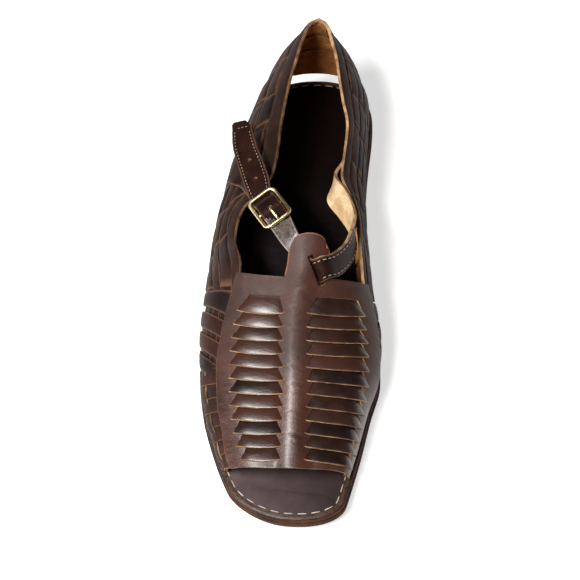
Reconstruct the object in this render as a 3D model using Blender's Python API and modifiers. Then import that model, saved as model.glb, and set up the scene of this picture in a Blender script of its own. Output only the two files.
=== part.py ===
# Right-foot woven leather sandal with an open toe, a laddered vamp, a T-shaped tab,
# basket-woven sides and heel, and a buckled ankle strap.
# Metres, +Z up. The toe points to -Y, the inner side of the foot to +X.
# The origin is the centre of the heel's ground face.

import math

import bmesh
import bpy
import numpy as np
from mathutils import Vector

# Sole and heel
sole_length = 0.301
ball_width = 0.106
heel_end = 0.037            # the sole's back end, behind the origin
heel_height = 0.0092        # ground to the outsole under the heel
heel_length = 0.074
heel_breast_dip = 0.005     # how far the heel's front face is hollowed
heel_taper = 0.0015
toe_spring = 0.005
outsole_thickness = 0.0050
insole_thickness = 0.0035
insole_inset = 0.0006
piece_gap = 0.0003          # between pieces that lie on each other
sole_edge_round = 0.0006
heel_round = 0.034          # length of the rounded back end of the outline
toe_round_outer = 0.020
toe_round_inner = 0.013
corner_power = 2.3

# Upper
vamp_ridge_height = 0.065   # ridge above the insole where the tab leaves the vamp
rim_height = 0.0780         # top of the heel's rim above the ground
vamp_thickness = 0.0020
weave_thickness = 0.0018
weave_step = 0.0009         # an upper strip over a lower one
stitch_margin = 0.0055      # the insole's bare edge outside the upper
heel_overhang = 0.0033      # the counter's middle surface stands this far behind the insole
heel_slit = 0.0042          # the counter's lower edge above the insole at the back
heel_slit_end = 0.026       # round the heel, from its middle to where that gap closes
counter_turn = 0.013        # from the heel's middle to where the wall starts to come in
counter_end = 0.042         # and to where it stands on the stitch line
columns_per_side = 11       # raked strips on each side of the one at the back
long_strips = 4             # strips along the foot between the lower band and the collar band
strip_share = 0.70          # strip width as a share of its pitch
strip_rake = 0.075          # how far a strip's top lies behind its foot, share of the wall
lower_band = 0.08
collar_band = 0.12
tuck_under_vamp = 0.0050
weave_sink = 0.0005         # how much deeper the weave lies where the vamp covers it
weave_foot_lift = 0.0004

# Ladder of bars on the vamp
bar_count = 12
bar_inner = 0.0066          # ridge centre to the bar's inner end
bar_tuck = 0.0045           # how much shorter each end of a bar is where it dives under
bar_lift = 0.0017
margin_lift = 0.0009
ridge_lift = 0.0024

# Tab and straps
tab_end = 0.511             # share of the length
tab_corner = 0.0075         # how far the tab's end corners are rounded back
slit_from = (0.550, 0.0022) # share of the length, distance from the ridge
slit_to = (0.586, 0.0108)
slit_gap = 0.0068
strap_thickness = 0.0020
strap_width = 0.0132        # in the buckle
strap_hole_radius = 0.0012
strap_hole_pitch = 0.0145
strap_holes = 3
short_strap_thickness = 0.0012
short_strap_width = 0.0120
buckle_long = 0.0240
buckle_wide = 0.0190
buckle_curve = 0.0016       # how far the frame's ends stand above its centre bar
buckle_wire = 0.0011        # radius of the frame
bar_wire = 0.0009           # radius of the centre bar
prong_wire = 0.0008
buckle_seat = (0.4402, -0.1736, 0.8897)  # shares of the length, ball width and rim height
buckle_along = (-0.550, 0.828, -0.108)
buckle_across = (0.712, 0.665, 0.223)
prong_hole_radius = 0.0016

# Ankle strap from its root inside the inner quarter to the slit, under the tab, through the
# buckle and to its free end. For the upper and then the lower edge: share of the sole's length,
# share of the ball width from the middle line, share of the rim height
strap_front = [
    (0.3306, 0.165, 0.715, 0.3291, 0.150, 0.535),
    (0.3635, 0.222, 0.718, 0.3703, 0.125, 0.577),
    (0.4017, 0.268, 0.724, 0.4030, 0.190, 0.564),
    (0.4303, 0.283, 0.744, 0.4304, 0.240, 0.567),
    (0.4696, 0.266, 0.788, 0.4698, 0.284, 0.602),
    (0.5093, 0.236, 0.846, 0.5195, 0.271, 0.667),
    (0.5439, 0.177, 0.928, 0.5671, 0.212, 0.774),
    (0.5600, 0.120, 0.986, 0.5850, 0.158, 0.845),
]
strap_tail = [
    (0.3600, -0.200, 0.872, 0.3790, -0.324, 0.826),
    (0.3280, -0.231, 0.868, 0.3300, -0.357, 0.814),
    (0.2824, -0.280, 0.859, 0.2807, -0.402, 0.795),
    (0.2317, -0.318, 0.846, 0.2298, -0.427, 0.782),
]

# Sole outline: share of the length from the heel, outer and inner half widths as shares of
# the ball width, without the rounded ends
outline = [
    (0.00, 0.352, 0.345),
    (0.12, 0.366, 0.350),
    (0.25, 0.412, 0.328),
    (0.40, 0.478, 0.318),
    (0.52, 0.532, 0.352),
    (0.64, 0.574, 0.424),
    (0.70, 0.568, 0.430),
    (0.78, 0.533, 0.380),
    (0.86, 0.462, 0.335),
    (0.93, 0.375, 0.288),
    (1.00, 0.255, 0.236),
]

# Underside: share of the length, share of the heel height, share of the toe spring
underside = [
    (0.00, 1.00, 0.00),
    (0.26, 1.00, 0.00),
    (0.36, 0.80, 0.00),
    (0.46, 0.42, 0.00),
    (0.56, 0.08, 0.00),
    (0.61, 0.00, 0.00),
    (0.76, 0.00, 0.00),
    (0.84, 0.00, 0.14),
    (0.92, 0.00, 0.50),
    (1.00, 0.00, 1.00),
]

# Vamp sections: share of the length, height above the insole as a share of the ridge height,
# ridge's offset to the inner side as a share of the ball width, fullness of the arch
ridge = [
    (0.42, 1.150, 0.065, 2.1),
    (0.48, 1.080, 0.064, 2.1),
    (0.53, 0.985, 0.050, 2.2),
    (0.59, 0.810, 0.010, 2.3),
    (0.65, 0.665, -0.018, 2.4),
    (0.71, 0.550, -0.014, 2.6),
    (0.78, 0.435, -0.007, 2.8),
    (0.85, 0.325, -0.009, 2.9),
    (0.93, 0.205, -0.010, 3.0),
]

# How far the wall bulges over its foot: share of the length, outer side, inner side, as
# shares of the stitch margin
bulge = [
    (0.00, 0.60, 0.60),
    (0.09, 0.30, 0.40),
    (0.14, 0.45, 0.50),
    (0.20, 1.20, 0.60),
    (0.27, 1.85, 0.75),
    (0.36, 1.95, 1.00),
    (0.44, 1.70, 1.15),
    (0.54, 1.15, 1.25),
    (0.64, 0.75, 1.05),
    (0.74, 0.50, 0.60),
    (0.93, 0.20, 0.20),
]

# Collar: share of the length, outer and inner edge as shares of the ball width (inner
# side positive), height above the ground as a share of the rim height
collar = [
    (0.000, 0.042, 0.042, 1.000),
    (0.010, -0.004, 0.082, 0.996),
    (0.048, -0.043, 0.117, 0.978),
    (0.087, -0.075, 0.148, 0.930),
    (0.131, -0.105, 0.168, 0.886),
    (0.173, -0.126, 0.190, 0.850),
    (0.230, -0.146, 0.220, 0.815),
    (0.290, -0.158, 0.208, 0.780),
    (0.335, -0.185, 0.196, 0.735),
    (0.365, -0.250, 0.235, 0.672),
    (0.400, -0.345, 0.280, 0.628),
    (0.450, -0.372, 0.300, 0.625),
    (0.510, -0.372, 0.310, 0.655),
    (0.560, -0.345, 0.300, 0.700),
]

# Edges on the vamp, measured over the surface from the ridge as shares of the ball width:
# share of the length, vamp's outer edge, bars' outer ends on both sides, vamp's inner edge
vamp_edges = [
    (0.54, -0.415, -0.355, 0.355, 0.405),
    (0.60, -0.455, -0.360, 0.370, 0.445),
    (0.66, -0.495, -0.370, 0.400, 0.475),
    (0.72, -0.505, -0.385, 0.405, 0.480),
    (0.78, -0.480, -0.385, 0.390, 0.460),
    (0.84, -0.440, -0.370, 0.360, 0.430),
    (0.91, -0.390, -0.325, 0.315, 0.375),
]

throat = 0.580              # vamp's back edge at the ridge, share of the length
ladder_start = 0.612
ladder_end = 0.897
vamp_front = 0.914
side_flap = 0.672           # from here on the vamp runs down to the sole
weave_front = 0.700
bow_back = 0.0062           # how far a row's ends lie behind its middle, at the throat
bow_front = 0.0010
bow_edge = 0.0022
bow_reach = 0.040

leather_dark = ((0.055, 0.022, 0.016, 1.0), 0.42, 0.0)
leather_vamp = ((0.115, 0.036, 0.020, 1.0), 0.38, 0.0)
leather_insole = ((0.035, 0.016, 0.014, 1.0), 0.50, 0.0)
leather_tan = ((0.45, 0.22, 0.09, 1.0), 0.62, 0.0)
brass = ((0.78, 0.60, 0.22, 1.0), 0.28, 1.0)


def smooth_curve(rows, column):
    """A monotone cubic through one column of a table, as a function of the first column."""
    x = np.array([row[0] for row in rows])
    y = np.array([row[column] for row in rows])
    h = np.diff(x)
    d = np.diff(y) / h
    m = np.zeros(len(x))
    m[0], m[-1] = d[0], d[-1]
    for k in range(1, len(x) - 1):
        if d[k - 1] * d[k] > 0:
            w1, w2 = 2 * h[k] + h[k - 1], h[k] + 2 * h[k - 1]
            m[k] = (w1 + w2) / (w1 / d[k - 1] + w2 / d[k])

    def value(at):
        at = min(max(at, x[0]), x[-1])
        k = min(int(np.searchsorted(x, at, side="right")) - 1, len(h) - 1)
        t = (at - x[k]) / h[k]
        return float(
            y[k] * (1 + 2 * t) * (1 - t) ** 2
            + m[k] * h[k] * t * (1 - t) ** 2
            + y[k + 1] * t * t * (3 - 2 * t)
            + m[k + 1] * h[k] * t * t * (t - 1)
        )

    return value


outer_width = smooth_curve(outline, 1)
inner_width = smooth_curve(outline, 2)
heel_part = smooth_curve(underside, 1)
spring_part = smooth_curve(underside, 2)
ridge_height = smooth_curve(ridge, 1)
ridge_offset = smooth_curve(ridge, 2)
ridge_fullness = smooth_curve(ridge, 3)
outer_bulge = smooth_curve(bulge, 1)
inner_bulge = smooth_curve(bulge, 2)
outer_collar = smooth_curve(collar, 1)
inner_collar = smooth_curve(collar, 2)
collar_height = smooth_curve(collar, 3)
outer_edge = smooth_curve(vamp_edges, 1)
outer_bars = smooth_curve(vamp_edges, 2)
inner_bars = smooth_curve(vamp_edges, 3)
inner_edge = smooth_curve(vamp_edges, 4)


def ease(value, low, high):
    """0 below low, 1 above high, smooth between."""
    t = min(max((value - low) / (high - low), 0.0), 1.0)
    return t * t * (3 - 2 * t)


def row_y(share):
    return heel_end - share * sole_length


def rounding(distance, reach, power):
    """Share of the full width that is left this far from an end."""
    if distance >= reach:
        return 1.0
    return (1 - (1 - max(distance, 0.0) / reach) ** power) ** (1 / power)


def outline_x(share, side):
    """X of the sole's edge: side -1 is the outer edge, +1 the inner."""
    width = (outer_width if side < 0 else inner_width)(share) * ball_width
    toe = toe_round_outer if side < 0 else toe_round_inner
    width *= rounding(share * sole_length, heel_round, corner_power)
    width *= rounding((1 - share) * sole_length, toe, corner_power)
    return side * width


def underside_z(share):
    return heel_height * heel_part(share) + toe_spring * spring_part(share)


def insole_bottom(share):
    return underside_z(share) + outsole_thickness + piece_gap


def insole_top(share):
    return insole_bottom(share) + insole_thickness


def end_spaced(count, start=0.0, end=1.0):
    """Shares that lie closer together towards both ends."""
    return [start + (end - start) * (1 - math.cos(math.pi * k / count)) / 2 for k in range(count + 1)]


def material(name, look):
    colour, roughness, metallic = look
    made = bpy.data.materials.new(name)
    made.use_nodes = True
    shader = made.node_tree.nodes["Principled BSDF"]
    shader.inputs["Base Color"].default_value = colour
    shader.inputs["Roughness"].default_value = roughness
    shader.inputs["Metallic"].default_value = metallic
    made.diffuse_color = colour
    return made


def new_object(name, points, faces, look, collection):
    mesh = bpy.data.meshes.new(name)
    mesh.from_pydata([tuple(p) for p in points], [], faces)
    shape = bmesh.new()
    shape.from_mesh(mesh)
    bmesh.ops.recalc_face_normals(shape, faces=shape.faces)
    if shape.calc_volume(signed=True) < 0:
        bmesh.ops.reverse_faces(shape, faces=shape.faces)
    shape.to_mesh(mesh)
    shape.free()
    mesh.materials.append(look)
    made = bpy.data.objects.new(name, mesh)
    collection.objects.link(made)
    return made


def shade_round(made, degrees=35):
    made.data.shade_smooth()
    made.data.set_sharp_from_angle(angle=math.radians(degrees))


def bevel(made, width, segments=1, degrees=50):
    modifier = made.modifiers.new("edges", "BEVEL")
    modifier.width = width
    modifier.segments = segments
    modifier.limit_method = "ANGLE"
    modifier.angle_limit = math.radians(degrees)


def outline_loop(shares, inset):
    """Plan points of the sole's outline at these shares, moved inwards: outer side from the
    heel to the toe, then the inner side back. The two ends are single points."""
    loop = [(outline_x(s, -1), row_y(s), s) for s in shares]
    loop += [(outline_x(s, 1), row_y(s), s) for s in reversed(shares[1:-1])]
    count = len(loop)
    moved = []
    for k, (x, y, share) in enumerate(loop):
        before, after = loop[k - 1], loop[(k + 1) % count]
        tangent = Vector((after[0] - before[0], after[1] - before[1])).normalized()
        moved.append((x - tangent.y * inset, y + tangent.x * inset, share))
    return moved


def sole_layer(name, shares, inset, bottom, top, look, collection):
    """A layer of the sole between two heights that depend on the distance from the heel."""
    loop = outline_loop(shares, inset)
    count = len(loop)
    points = [(x, y, bottom(s)) for x, y, s in loop] + [(x, y, top(s)) for x, y, s in loop]
    faces = [(k, (k + 1) % count, count + (k + 1) % count, count + k) for k in range(count)]
    half = count // 2
    for base in (0, count):
        faces.append((base, base + 1, base + count - 1))
        for k in range(1, half - 1):
            faces.append((base + k, base + k + 1, base + count - k - 1, base + count - k))
        faces.append((base + half - 1, base + half, base + half + 1))
    made = new_object(name, points, faces, look, collection)
    bevel(made, sole_edge_round)
    shade_round(made)
    return made


def make_heel(look, collection):
    """Heel block: the sole's outline up to a hollowed front face, a little smaller at the ground."""
    breast = heel_length / sole_length
    shares = [breast * (1 - math.cos(math.pi / 2 * k / 12)) for k in range(13)]
    rings = []
    for z, inset in ((0.0, heel_taper), (heel_height - piece_gap, 0.0)):
        ring = []
        for side in (-1, 1):
            edge = []
            for s in shares:
                x = outline_x(s, side)
                edge.append((x * (1 - inset * 2 / (ball_width * 0.7)), row_y(s) - inset * (1 - s / breast), z))
            ring.append(edge)
        outer, inner = ring
        front = []
        for k in range(1, 8):
            across = k / 8
            x = outer[-1][0] * (1 - across) + inner[-1][0] * across
            hollow = heel_breast_dip * (1 - (2 * across - 1) ** 2)
            front.append((x, outer[-1][1] + hollow, z))
        rings.append(outer + front + inner[:0:-1])
    count = len(rings[0])
    points = rings[0] + rings[1]
    faces = [(k, (k + 1) % count, count + (k + 1) % count, count + k) for k in range(count)]
    faces += [tuple(range(count)), tuple(range(count, 2 * count))]
    made = new_object("heel", points, faces, look, collection)
    bevel(made, sole_edge_round)
    shade_round(made)
    return made


def wall_foot(share, side):
    """X of the upper's lower edge on the insole."""
    return outline_x(share, side) - side * stitch_margin


def arch_section(share):
    """The vamp's cross section from its outer foot over the ridge to its inner foot, with
    the signed distance of each point from the ridge, measured over the surface."""
    floor = insole_top(share) + piece_gap
    height = vamp_ridge_height * ridge_height(share)
    middle = ridge_offset(share) * ball_width
    full = ridge_fullness(share)
    steps = 48
    halves = []
    for side in (-1, 1):
        reach = abs(wall_foot(share, side) - middle)
        swell = (outer_bulge if side < 0 else inner_bulge)(share) * stitch_margin
        half = []
        for k in range(steps + 1):
            turn = math.pi / 2 * k / steps
            up = math.cos(turn) ** (2 / full)
            out = reach * math.sin(turn) ** (2 / full) + swell * math.sin(math.pi * up**0.6)
            half.append((middle + side * out, floor + height * up))
        halves.append(np.array(half))
    lengths = [np.concatenate([[0], np.cumsum(np.linalg.norm(np.diff(h, axis=0), axis=1))]) for h in halves]
    points = np.concatenate([halves[0][::-1], halves[1][1:]])
    distance = np.concatenate([-lengths[0][::-1], lengths[1][1:]])
    return points, distance


section_store = {}


def section(share):
    key = round(share, 5)
    if key not in section_store:
        section_store[key] = arch_section(share)
    return section_store[key]


def vamp_surface(share, across):
    """A point of the vamp's surface, this far over the section from the ridge."""
    points, distance = section(share)
    x = float(np.interp(across, distance, points[:, 0]))
    z = float(np.interp(across, distance, points[:, 1]))
    return Vector((x, row_y(share), z))


def vamp_normal(share, across):
    along = vamp_surface(share + 0.006, across) - vamp_surface(share - 0.006, across)
    over = vamp_surface(share, across + 0.002) - vamp_surface(share, across - 0.002)
    return along.cross(over).normalized()


def section_end(share, side):
    distance = section(share)[1]
    return float(distance[0] if side < 0 else distance[-1])


def path_by_length(points):
    """A polyline as a function of the share of its length, and that length."""
    line = np.array([tuple(p) for p in points])
    along = np.concatenate([[0], np.cumsum(np.linalg.norm(np.diff(line[:, :3], axis=0), axis=1))])

    def at(share):
        where = min(max(share, 0.0), 1.0) * along[-1]
        return np.array([np.interp(where, along, line[:, k]) for k in range(line.shape[1])])

    return at, float(along[-1])


def wall_paths(side):
    """Foot and collar of one side of the wall, from the heel's middle to the throat. A foot
    point is x, y, z and the outward direction in plan; a collar point is x, y, z."""
    shares = [collar[-1][0] * (1 - math.cos(math.pi / 2 * k / 60)) for k in range(61)]
    edge = np.array([(outline_x(s, side), row_y(s)) for s in shares])
    tangent = np.gradient(edge, axis=0)
    tangent[0] = (side, 0)
    tangent /= np.linalg.norm(tangent, axis=1)[:, None]
    outward = np.stack([-tangent[:, 1], tangent[:, 0]], axis=1) * side
    arc = np.concatenate([[0], np.cumsum(np.linalg.norm(np.diff(edge, axis=0), axis=1))])
    foot = []
    for k, share in enumerate(shares):
        inward = -heel_overhang + (stitch_margin + heel_overhang) * ease(arc[k], counter_turn, counter_end)
        lift = piece_gap + (heel_slit - piece_gap) * (1 - ease(arc[k], counter_turn, heel_slit_end))
        x, y = edge[k] - outward[k] * inward
        foot.append((x, y, insole_top(share) + lift, outward[k][0], outward[k][1]))
    across = outer_collar if side < 0 else inner_collar
    top = []
    for share in (collar[-1][0] * (1 - math.cos(math.pi / 2 * k / 80)) for k in range(81)):
        top.append((across(share) * ball_width, row_y(share), collar_height(share) * rim_height))
    return path_by_length(foot)[0], path_by_length(top)[0]


wall_store = {}


def wall_surface(side, along, up):
    """A point of the side wall. Along is 0 at the heel's middle and 1 at the throat, and
    goes on past it as far as the weave does; up is 0 at the foot and 1 at the top."""
    if side not in wall_store:
        wall_store[side] = wall_paths(side)
    foot_at, top_at = wall_store[side]
    share = throat_share(along)
    point = Vector((0, 0, 0))
    onto_vamp = ease(along, 0.84, 1.0)
    if onto_vamp < 1:
        foot, top = foot_at(along), top_at(along)
        full, reach = 2.1, 0.78
        r = max(up, 0.0) * reach
        q = (1 - (1 - r**full) ** (1 / full)) / (1 - (1 - reach**full) ** (1 / full))
        swell = (outer_bulge if side < 0 else inner_bulge)(share) * stitch_margin
        swell *= math.sin(math.pi * min(max(up, 0.0), 1.0) ** 0.75)
        x = foot[0] + (top[0] - foot[0]) * q + foot[3] * swell
        y = foot[1] + (top[1] - foot[1]) * q + foot[4] * swell
        point = Vector((x, y, foot[2] + (top[2] - foot[2]) * up))
    if onto_vamp > 0:
        start = section_end(share, side)
        edge = (outer_edge if side < 0 else inner_edge)(share) * ball_width
        edge -= side * tuck_under_vamp * ease(along, 0.98, 1.06)
        on_vamp = vamp_surface(share, start + (edge - start) * up)
        point = point * (1 - onto_vamp) + on_vamp * onto_vamp
    return point


def throat_share(along):
    """Share of the sole's length at this place of the side wall."""
    return collar[-1][0] * along


def wall_normal(side, along, up):
    lengthwise = wall_surface(side, along + 0.02, up) - wall_surface(side, max(along - 0.02, 0.0), up)
    upward = wall_surface(side, along, min(up + 0.03, 1.0)) - wall_surface(side, along, max(up - 0.03, 0.0))
    if along < 0.02:
        lengthwise = Vector((side, 0.0, 0.0))
    return (upward.cross(lengthwise) * side).normalized()


def strip_lines(count, share, first, last):
    """Edges of evenly pitched strips between two values, with a gap before and after each."""
    pitch = (last - first) / (count + (1 - share) / 1)
    gap = pitch * (1 - share)
    lines = []
    for k in range(count):
        start = first + gap + k * pitch
        lines += [start, start + pitch * share]
    return lines


def weave_points():
    """Places of the weave's grid lines. Columns run from the outer front corner round the
    heel to the inner one; every strip has two lines. Rows run up from the foot."""
    front = weave_front / collar[-1][0]
    half = strip_share / 2
    pitch = front / (columns_per_side + half)
    columns = [(-1, front)]
    for k in range(columns_per_side, 0, -1):
        edge = k * pitch
        if k < columns_per_side:
            columns.append((-1, edge + half * pitch))
        columns.append((-1, edge - half * pitch))
    columns += [(-1, half * pitch), (1, half * pitch)]
    for k in range(1, columns_per_side + 1):
        columns.append((1, k * pitch - half * pitch))
        if k < columns_per_side:
            columns.append((1, k * pitch + half * pitch))
    columns.append((1, front))
    rows = [0.0, lower_band] + strip_lines(long_strips, strip_share, lower_band, 1 - collar_band)
    rows += [1 - collar_band, 1.0]
    return columns, rows


def weave_place(column, up):
    """Side, place along and place up of a grid crossing, with the strips' rake."""
    side, along = column
    front = weave_front / collar[-1][0]
    rake = strip_rake * math.sin(math.pi * min(along / front, 1.0))
    return side, along - rake * (up - 0.5) * 2, up


def make_weave(look, collection):
    """Basket weave of the sides and heel as one closed wall. Each crossing has an upper
    level for the strip on top and a lower one for the strip that dives under it."""
    columns, rows = weave_points()
    wide, high = len(columns), len(rows)
    levels = (-weave_thickness / 2, weave_thickness / 2, weave_thickness / 2 + weave_step)
    points = []
    for column in columns:
        for up in rows:
            place = weave_place(column, up)
            along = place[1]
            base = wall_surface(*place)
            normal = wall_normal(*place)
            if up == 0:
                normal = Vector((normal.x, normal.y, 0)).normalized()
                base.z += weave_foot_lift * ease(along, 1.06, 1.18)
            sink = max(ease(along, 1.06, 1.18), ease(along, 0.93, 1.0) * ease(up, 0.55, 0.95))
            points += [base + normal * (level - weave_sink * sink) for level in levels]

    def at(i, j, level):
        return (i * high + j) * 3 + level

    def kind(i, j):
        """0 solid band, 1 crossing, 2 strip along the foot, 3 raked strip, 4 gap."""
        raked = i % 2 == 0
        lengthwise = j % 2 == 0
        if i in (0, wide - 2) or j in (0, high - 2):
            return 0
        if raked and lengthwise:
            return 1
        if lengthwise:
            return 2
        return 3 if raked else 4

    def over_raked(i, j):
        return ((i // 2) + (j // 2)) % 2 == 0

    faces = []
    height = {}
    for i in range(wide - 1):
        for j in range(high - 1):
            corners = [(i, j), (i + 1, j), (i + 1, j + 1), (i, j + 1)]
            what = kind(i, j)
            if what == 4:
                continue
            tops = []
            for ci, cj in corners:
                ki, kj = (ci if ci % 2 == 0 else ci - 1), (cj if cj % 2 == 0 else cj - 1)
                crossing = kind(ki, kj) if 0 <= ki < wide - 1 and 0 <= kj < high - 1 else 0
                if crossing != 1:
                    tops.append(1)
                elif what == 1:
                    tops.append(2)
                elif what == 3:
                    tops.append(2 if over_raked(ki, kj) else 1)
                elif what == 2:
                    tops.append(1 if over_raked(ki, kj) else 2)
                else:
                    tops.append(1)
            height[(i, j)] = dict(zip(corners, tops))
            faces.append([at(ci, cj, t) for (ci, cj), t in zip(corners, tops)])
            faces.append([at(ci, cj, 0) for ci, cj in reversed(corners)])
    for (i, j), tops in height.items():
        corners = [(i, j), (i + 1, j), (i + 1, j + 1), (i, j + 1)]
        beside = [(i, j - 1), (i + 1, j), (i, j + 1), (i - 1, j)]
        for k in range(4):
            a, b = corners[k], corners[(k + 1) % 4]
            other = height.get(beside[k])
            if other is None:
                ring = [at(*b, level) for level in range(tops[b], -1, -1)]
                ring += [at(*a, level) for level in range(0, tops[a] + 1)]
                faces.append(ring)
            else:
                low_a, low_b = other[a], other[b]
                if tops[a] + tops[b] > low_a + low_b:
                    ring = [at(*b, tops[b])] + ([at(*b, low_b)] if low_b < tops[b] else [])
                    ring += [at(*a, low_a)] + ([at(*a, tops[a])] if low_a < tops[a] else [])
                    if len(ring) > 2:
                        faces.append(ring)
    used = sorted({p for face in faces for p in face})
    index = {p: k for k, p in enumerate(used)}
    return new_object("upper", [points[p] for p in used], [[index[p] for p in f] for f in faces], look, collection)


def vamp_rows():
    """Rows of the vamp's grid from its back edge forwards: share at the ridge and bow."""
    rows = [throat, ladder_start]
    first = ladder_start + (ladder_end - ladder_start) / (bar_count + 0.1) * 1.1
    for k in range(bar_count):
        rows.append(first + (ladder_end - first) * k / (bar_count - 1))
    rows.append(vamp_front)
    ahead = [(share - throat) / (ladder_end - throat) for share in rows]
    bows = [bow_back + (bow_front - bow_back) * min(t, 1.0) for t in ahead[:-1]] + [bow_edge]
    return list(zip(rows, bows))


def row_share(row, across):
    share, bow = row
    return share - bow * (across / bow_reach) ** 2 / sole_length


def make_vamp(look, collection):
    """Vamp with its ladder of bars, ridge and tab as one closed wall. The levels at a grid
    point are the inner face, the base of a bar, the margin and the raised face."""
    inner, base, margin = -0.0007, vamp_thickness - 0.0007, vamp_thickness - 0.0007 + margin_lift
    bar_top, ridge_top = base + bar_lift, base + ridge_lift
    rows = vamp_rows()
    points, faces, where = [], [], {}

    def spot(r, name, level):
        """Index of a point in a row. Names: foot, edge, tooth, tip, bar (third), rib, spine."""
        key = (r, name, round(level, 6))
        if key in where:
            return where[key]
        side = -1 if name[0] == "o" else 1
        row = rows[r]
        what = name[1:]
        share = row[0]
        if what == "ridge":
            across = 0.0
        else:
            for _ in range(4):
                end = abs(section_end(share, side))
                edge = min(abs((outer_edge if side < 0 else inner_edge)(share)) * ball_width, end - 0.0070)
                ends = abs((outer_bars if side < 0 else inner_bars)(share)) * ball_width
                tip = ends - bar_tuck
                rib = bar_inner + bar_tuck
                across = side * {
                    "foot": end,
                    "flap": (end + edge) / 2,
                    "edge": edge,
                    "tooth": ends,
                    "tip": tip,
                    "out": tip + (rib - tip) / 3,
                    "in": tip + (rib - tip) * 2 / 3,
                    "rib": rib,
                    "spine": bar_inner,
                    "crest": bar_inner * 0.5,
                }[what]
                share = row_share(row, across)
        place = vamp_surface(share, across)
        normal = vamp_normal(share, across)
        if what == "foot" or normal.z < 0:
            normal = Vector((normal.x, normal.y, 0)).normalized()
        where[key] = len(points)
        points.append(place + normal * level)
        return where[key]

    last = len(rows) - 1
    flap_row = next(k for k, row in enumerate(rows) if row[0] > side_flap)
    names = ["edge", "tooth", "tip", "out", "in", "rib", "spine", "crest"]

    def level_line(r, side, start, end, pick):
        line = names[names.index(start):names.index(end) + 1]
        return [spot(r, side + name, pick(name)) for name in line]

    def add(face):
        tidy = [p for k, p in enumerate(face) if p != face[k - 1]]
        if len(tidy) > 2:
            faces.append(tidy)

    for r in range(last):
        bar = 1 <= r <= bar_count
        for side in "oi":
            strip = names + ["ridge"]
            for first, second in zip(strip, strip[1:]):
                one = side + first
                two = side + second if second != "ridge" else "oridge"
                add([spot(r, one, inner), spot(r, two, inner), spot(r + 1, two, inner), spot(r + 1, one, inner)])
            raise_spine = [("spine", margin), ("crest", base + ridge_lift * 0.85), ("ridge", ridge_top)]
            for (first, h1), (second, h2) in zip(raise_spine, raise_spine[1:]):
                one, two = side + first, (side + second if second != "ridge" else "oridge")
                add([spot(r, one, h1), spot(r, two, h2), spot(r + 1, two, h2), spot(r + 1, one, h1)])
            if not bar:
                for first, second in zip(names[:6], names[1:7]):
                    one, two = side + first, side + second
                    add([spot(r, one, margin), spot(r, two, margin), spot(r + 1, two, margin), spot(r + 1, one, margin)])
                continue
            add([
                spot(r, side + "edge", margin), spot(r, side + "tooth", margin), spot(r, side + "tip", margin),
                spot(r + 1, side + "tooth", margin), spot(r + 1, side + "edge", margin),
            ])
            add([
                spot(r, side + "spine", margin), spot(r, side + "rib", margin), spot(r + 1, side + "spine", margin),
            ])
            low = [spot(r, side + name, base) for name in ("tip", "out", "in", "rib")]
            high = [spot(r + 1, side + name, bar_top) for name in ("tip", "out", "in", "rib")]
            for k in range(3):
                add([low[k], low[k + 1], high[k + 1], high[k]])
            add([low[0], high[0], spot(r + 1, side + "tooth", margin)])
            add([low[3], spot(r + 1, side + "spine", margin), high[3]])
            add([spot(r, side + "tip", margin), spot(r, side + "tip", base), spot(r + 1, side + "tooth", margin)])
            add([spot(r, side + "rib", margin), spot(r, side + "rib", base), spot(r + 1, side + "spine", margin)])
    for r in range(1, bar_count + 2):
        above, below = r - 1 >= 1, r <= bar_count
        for side in "oi":
            ends = [spot(r, side + "tip", level) for level in (base, margin, bar_top)]
            ribs = [spot(r, side + "rib", level) for level in (base, margin, bar_top)]
            if above:
                add([spot(r, side + "tooth", margin), ends[1], ends[2]])
                add([spot(r, side + "spine", margin), ribs[1], ribs[2]])
            upper = bar_top if above else margin
            lower = base if below else margin
            start = [ends[k] for k, level in enumerate((base, margin, bar_top)) if lower <= level <= upper]
            end = [ribs[k] for k, level in enumerate((base, margin, bar_top)) if lower <= level <= upper]
            middle_low = [spot(r, side + name, lower) for name in ("out", "in")]
            middle_high = [spot(r, side + name, upper) for name in ("in", "out")]
            add(start[::-1] + middle_low + end + middle_high)
    for r in range(last):
        for side in "oi":
            if r < flap_row:
                step = [spot(r + 1, side + "edge", base)] if r + 1 == flap_row else []
                add([spot(r, side + "edge", inner), spot(r, side + "edge", margin),
                     spot(r + 1, side + "edge", margin)] + step + [spot(r + 1, side + "edge", inner)])
                continue
            for first, second in (("foot", "flap"), ("flap", "edge")):
                add([spot(r, side + first, inner), spot(r, side + second, inner),
                     spot(r + 1, side + second, inner), spot(r + 1, side + first, inner)])
                add([spot(r, side + first, base), spot(r, side + second, base),
                     spot(r + 1, side + second, base), spot(r + 1, side + first, base)])
            add([spot(r, side + "edge", base), spot(r, side + "edge", margin),
                 spot(r + 1, side + "edge", margin), spot(r + 1, side + "edge", base)])
            add([spot(r, side + "foot", inner), spot(r, side + "foot", base),
                 spot(r + 1, side + "foot", base), spot(r + 1, side + "foot", inner)])
    for side in "oi":
        for r in (flap_row, last):
            ring = [spot(r, side + name, inner) for name in ("foot", "flap", "edge")]
            ring += [spot(r, side + name, base) for name in ("edge", "flap", "foot")]
            add(ring)
    for r, names_here in ((0, names[:6]), (last, names)):
        for side in "oi":
            for first, second in zip(names_here, names_here[1:]):
                low = [spot(r, side + first, inner), spot(r, side + second, inner)]
                high = [spot(r, side + second, margin), spot(r, side + first, margin)]
                if first == "spine":
                    high = [spot(r, side + "crest", base + ridge_lift * 0.85), high[1]]
                if r == last and first == "edge":
                    high = high + [spot(r, side + "edge", base)]
                add(low + high)
    for side in "oi":
        add([spot(last, side + "crest", inner), spot(last, "oridge", inner), spot(last, "oridge", ridge_top),
             spot(last, side + "crest", base + ridge_lift * 0.85)])
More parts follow.
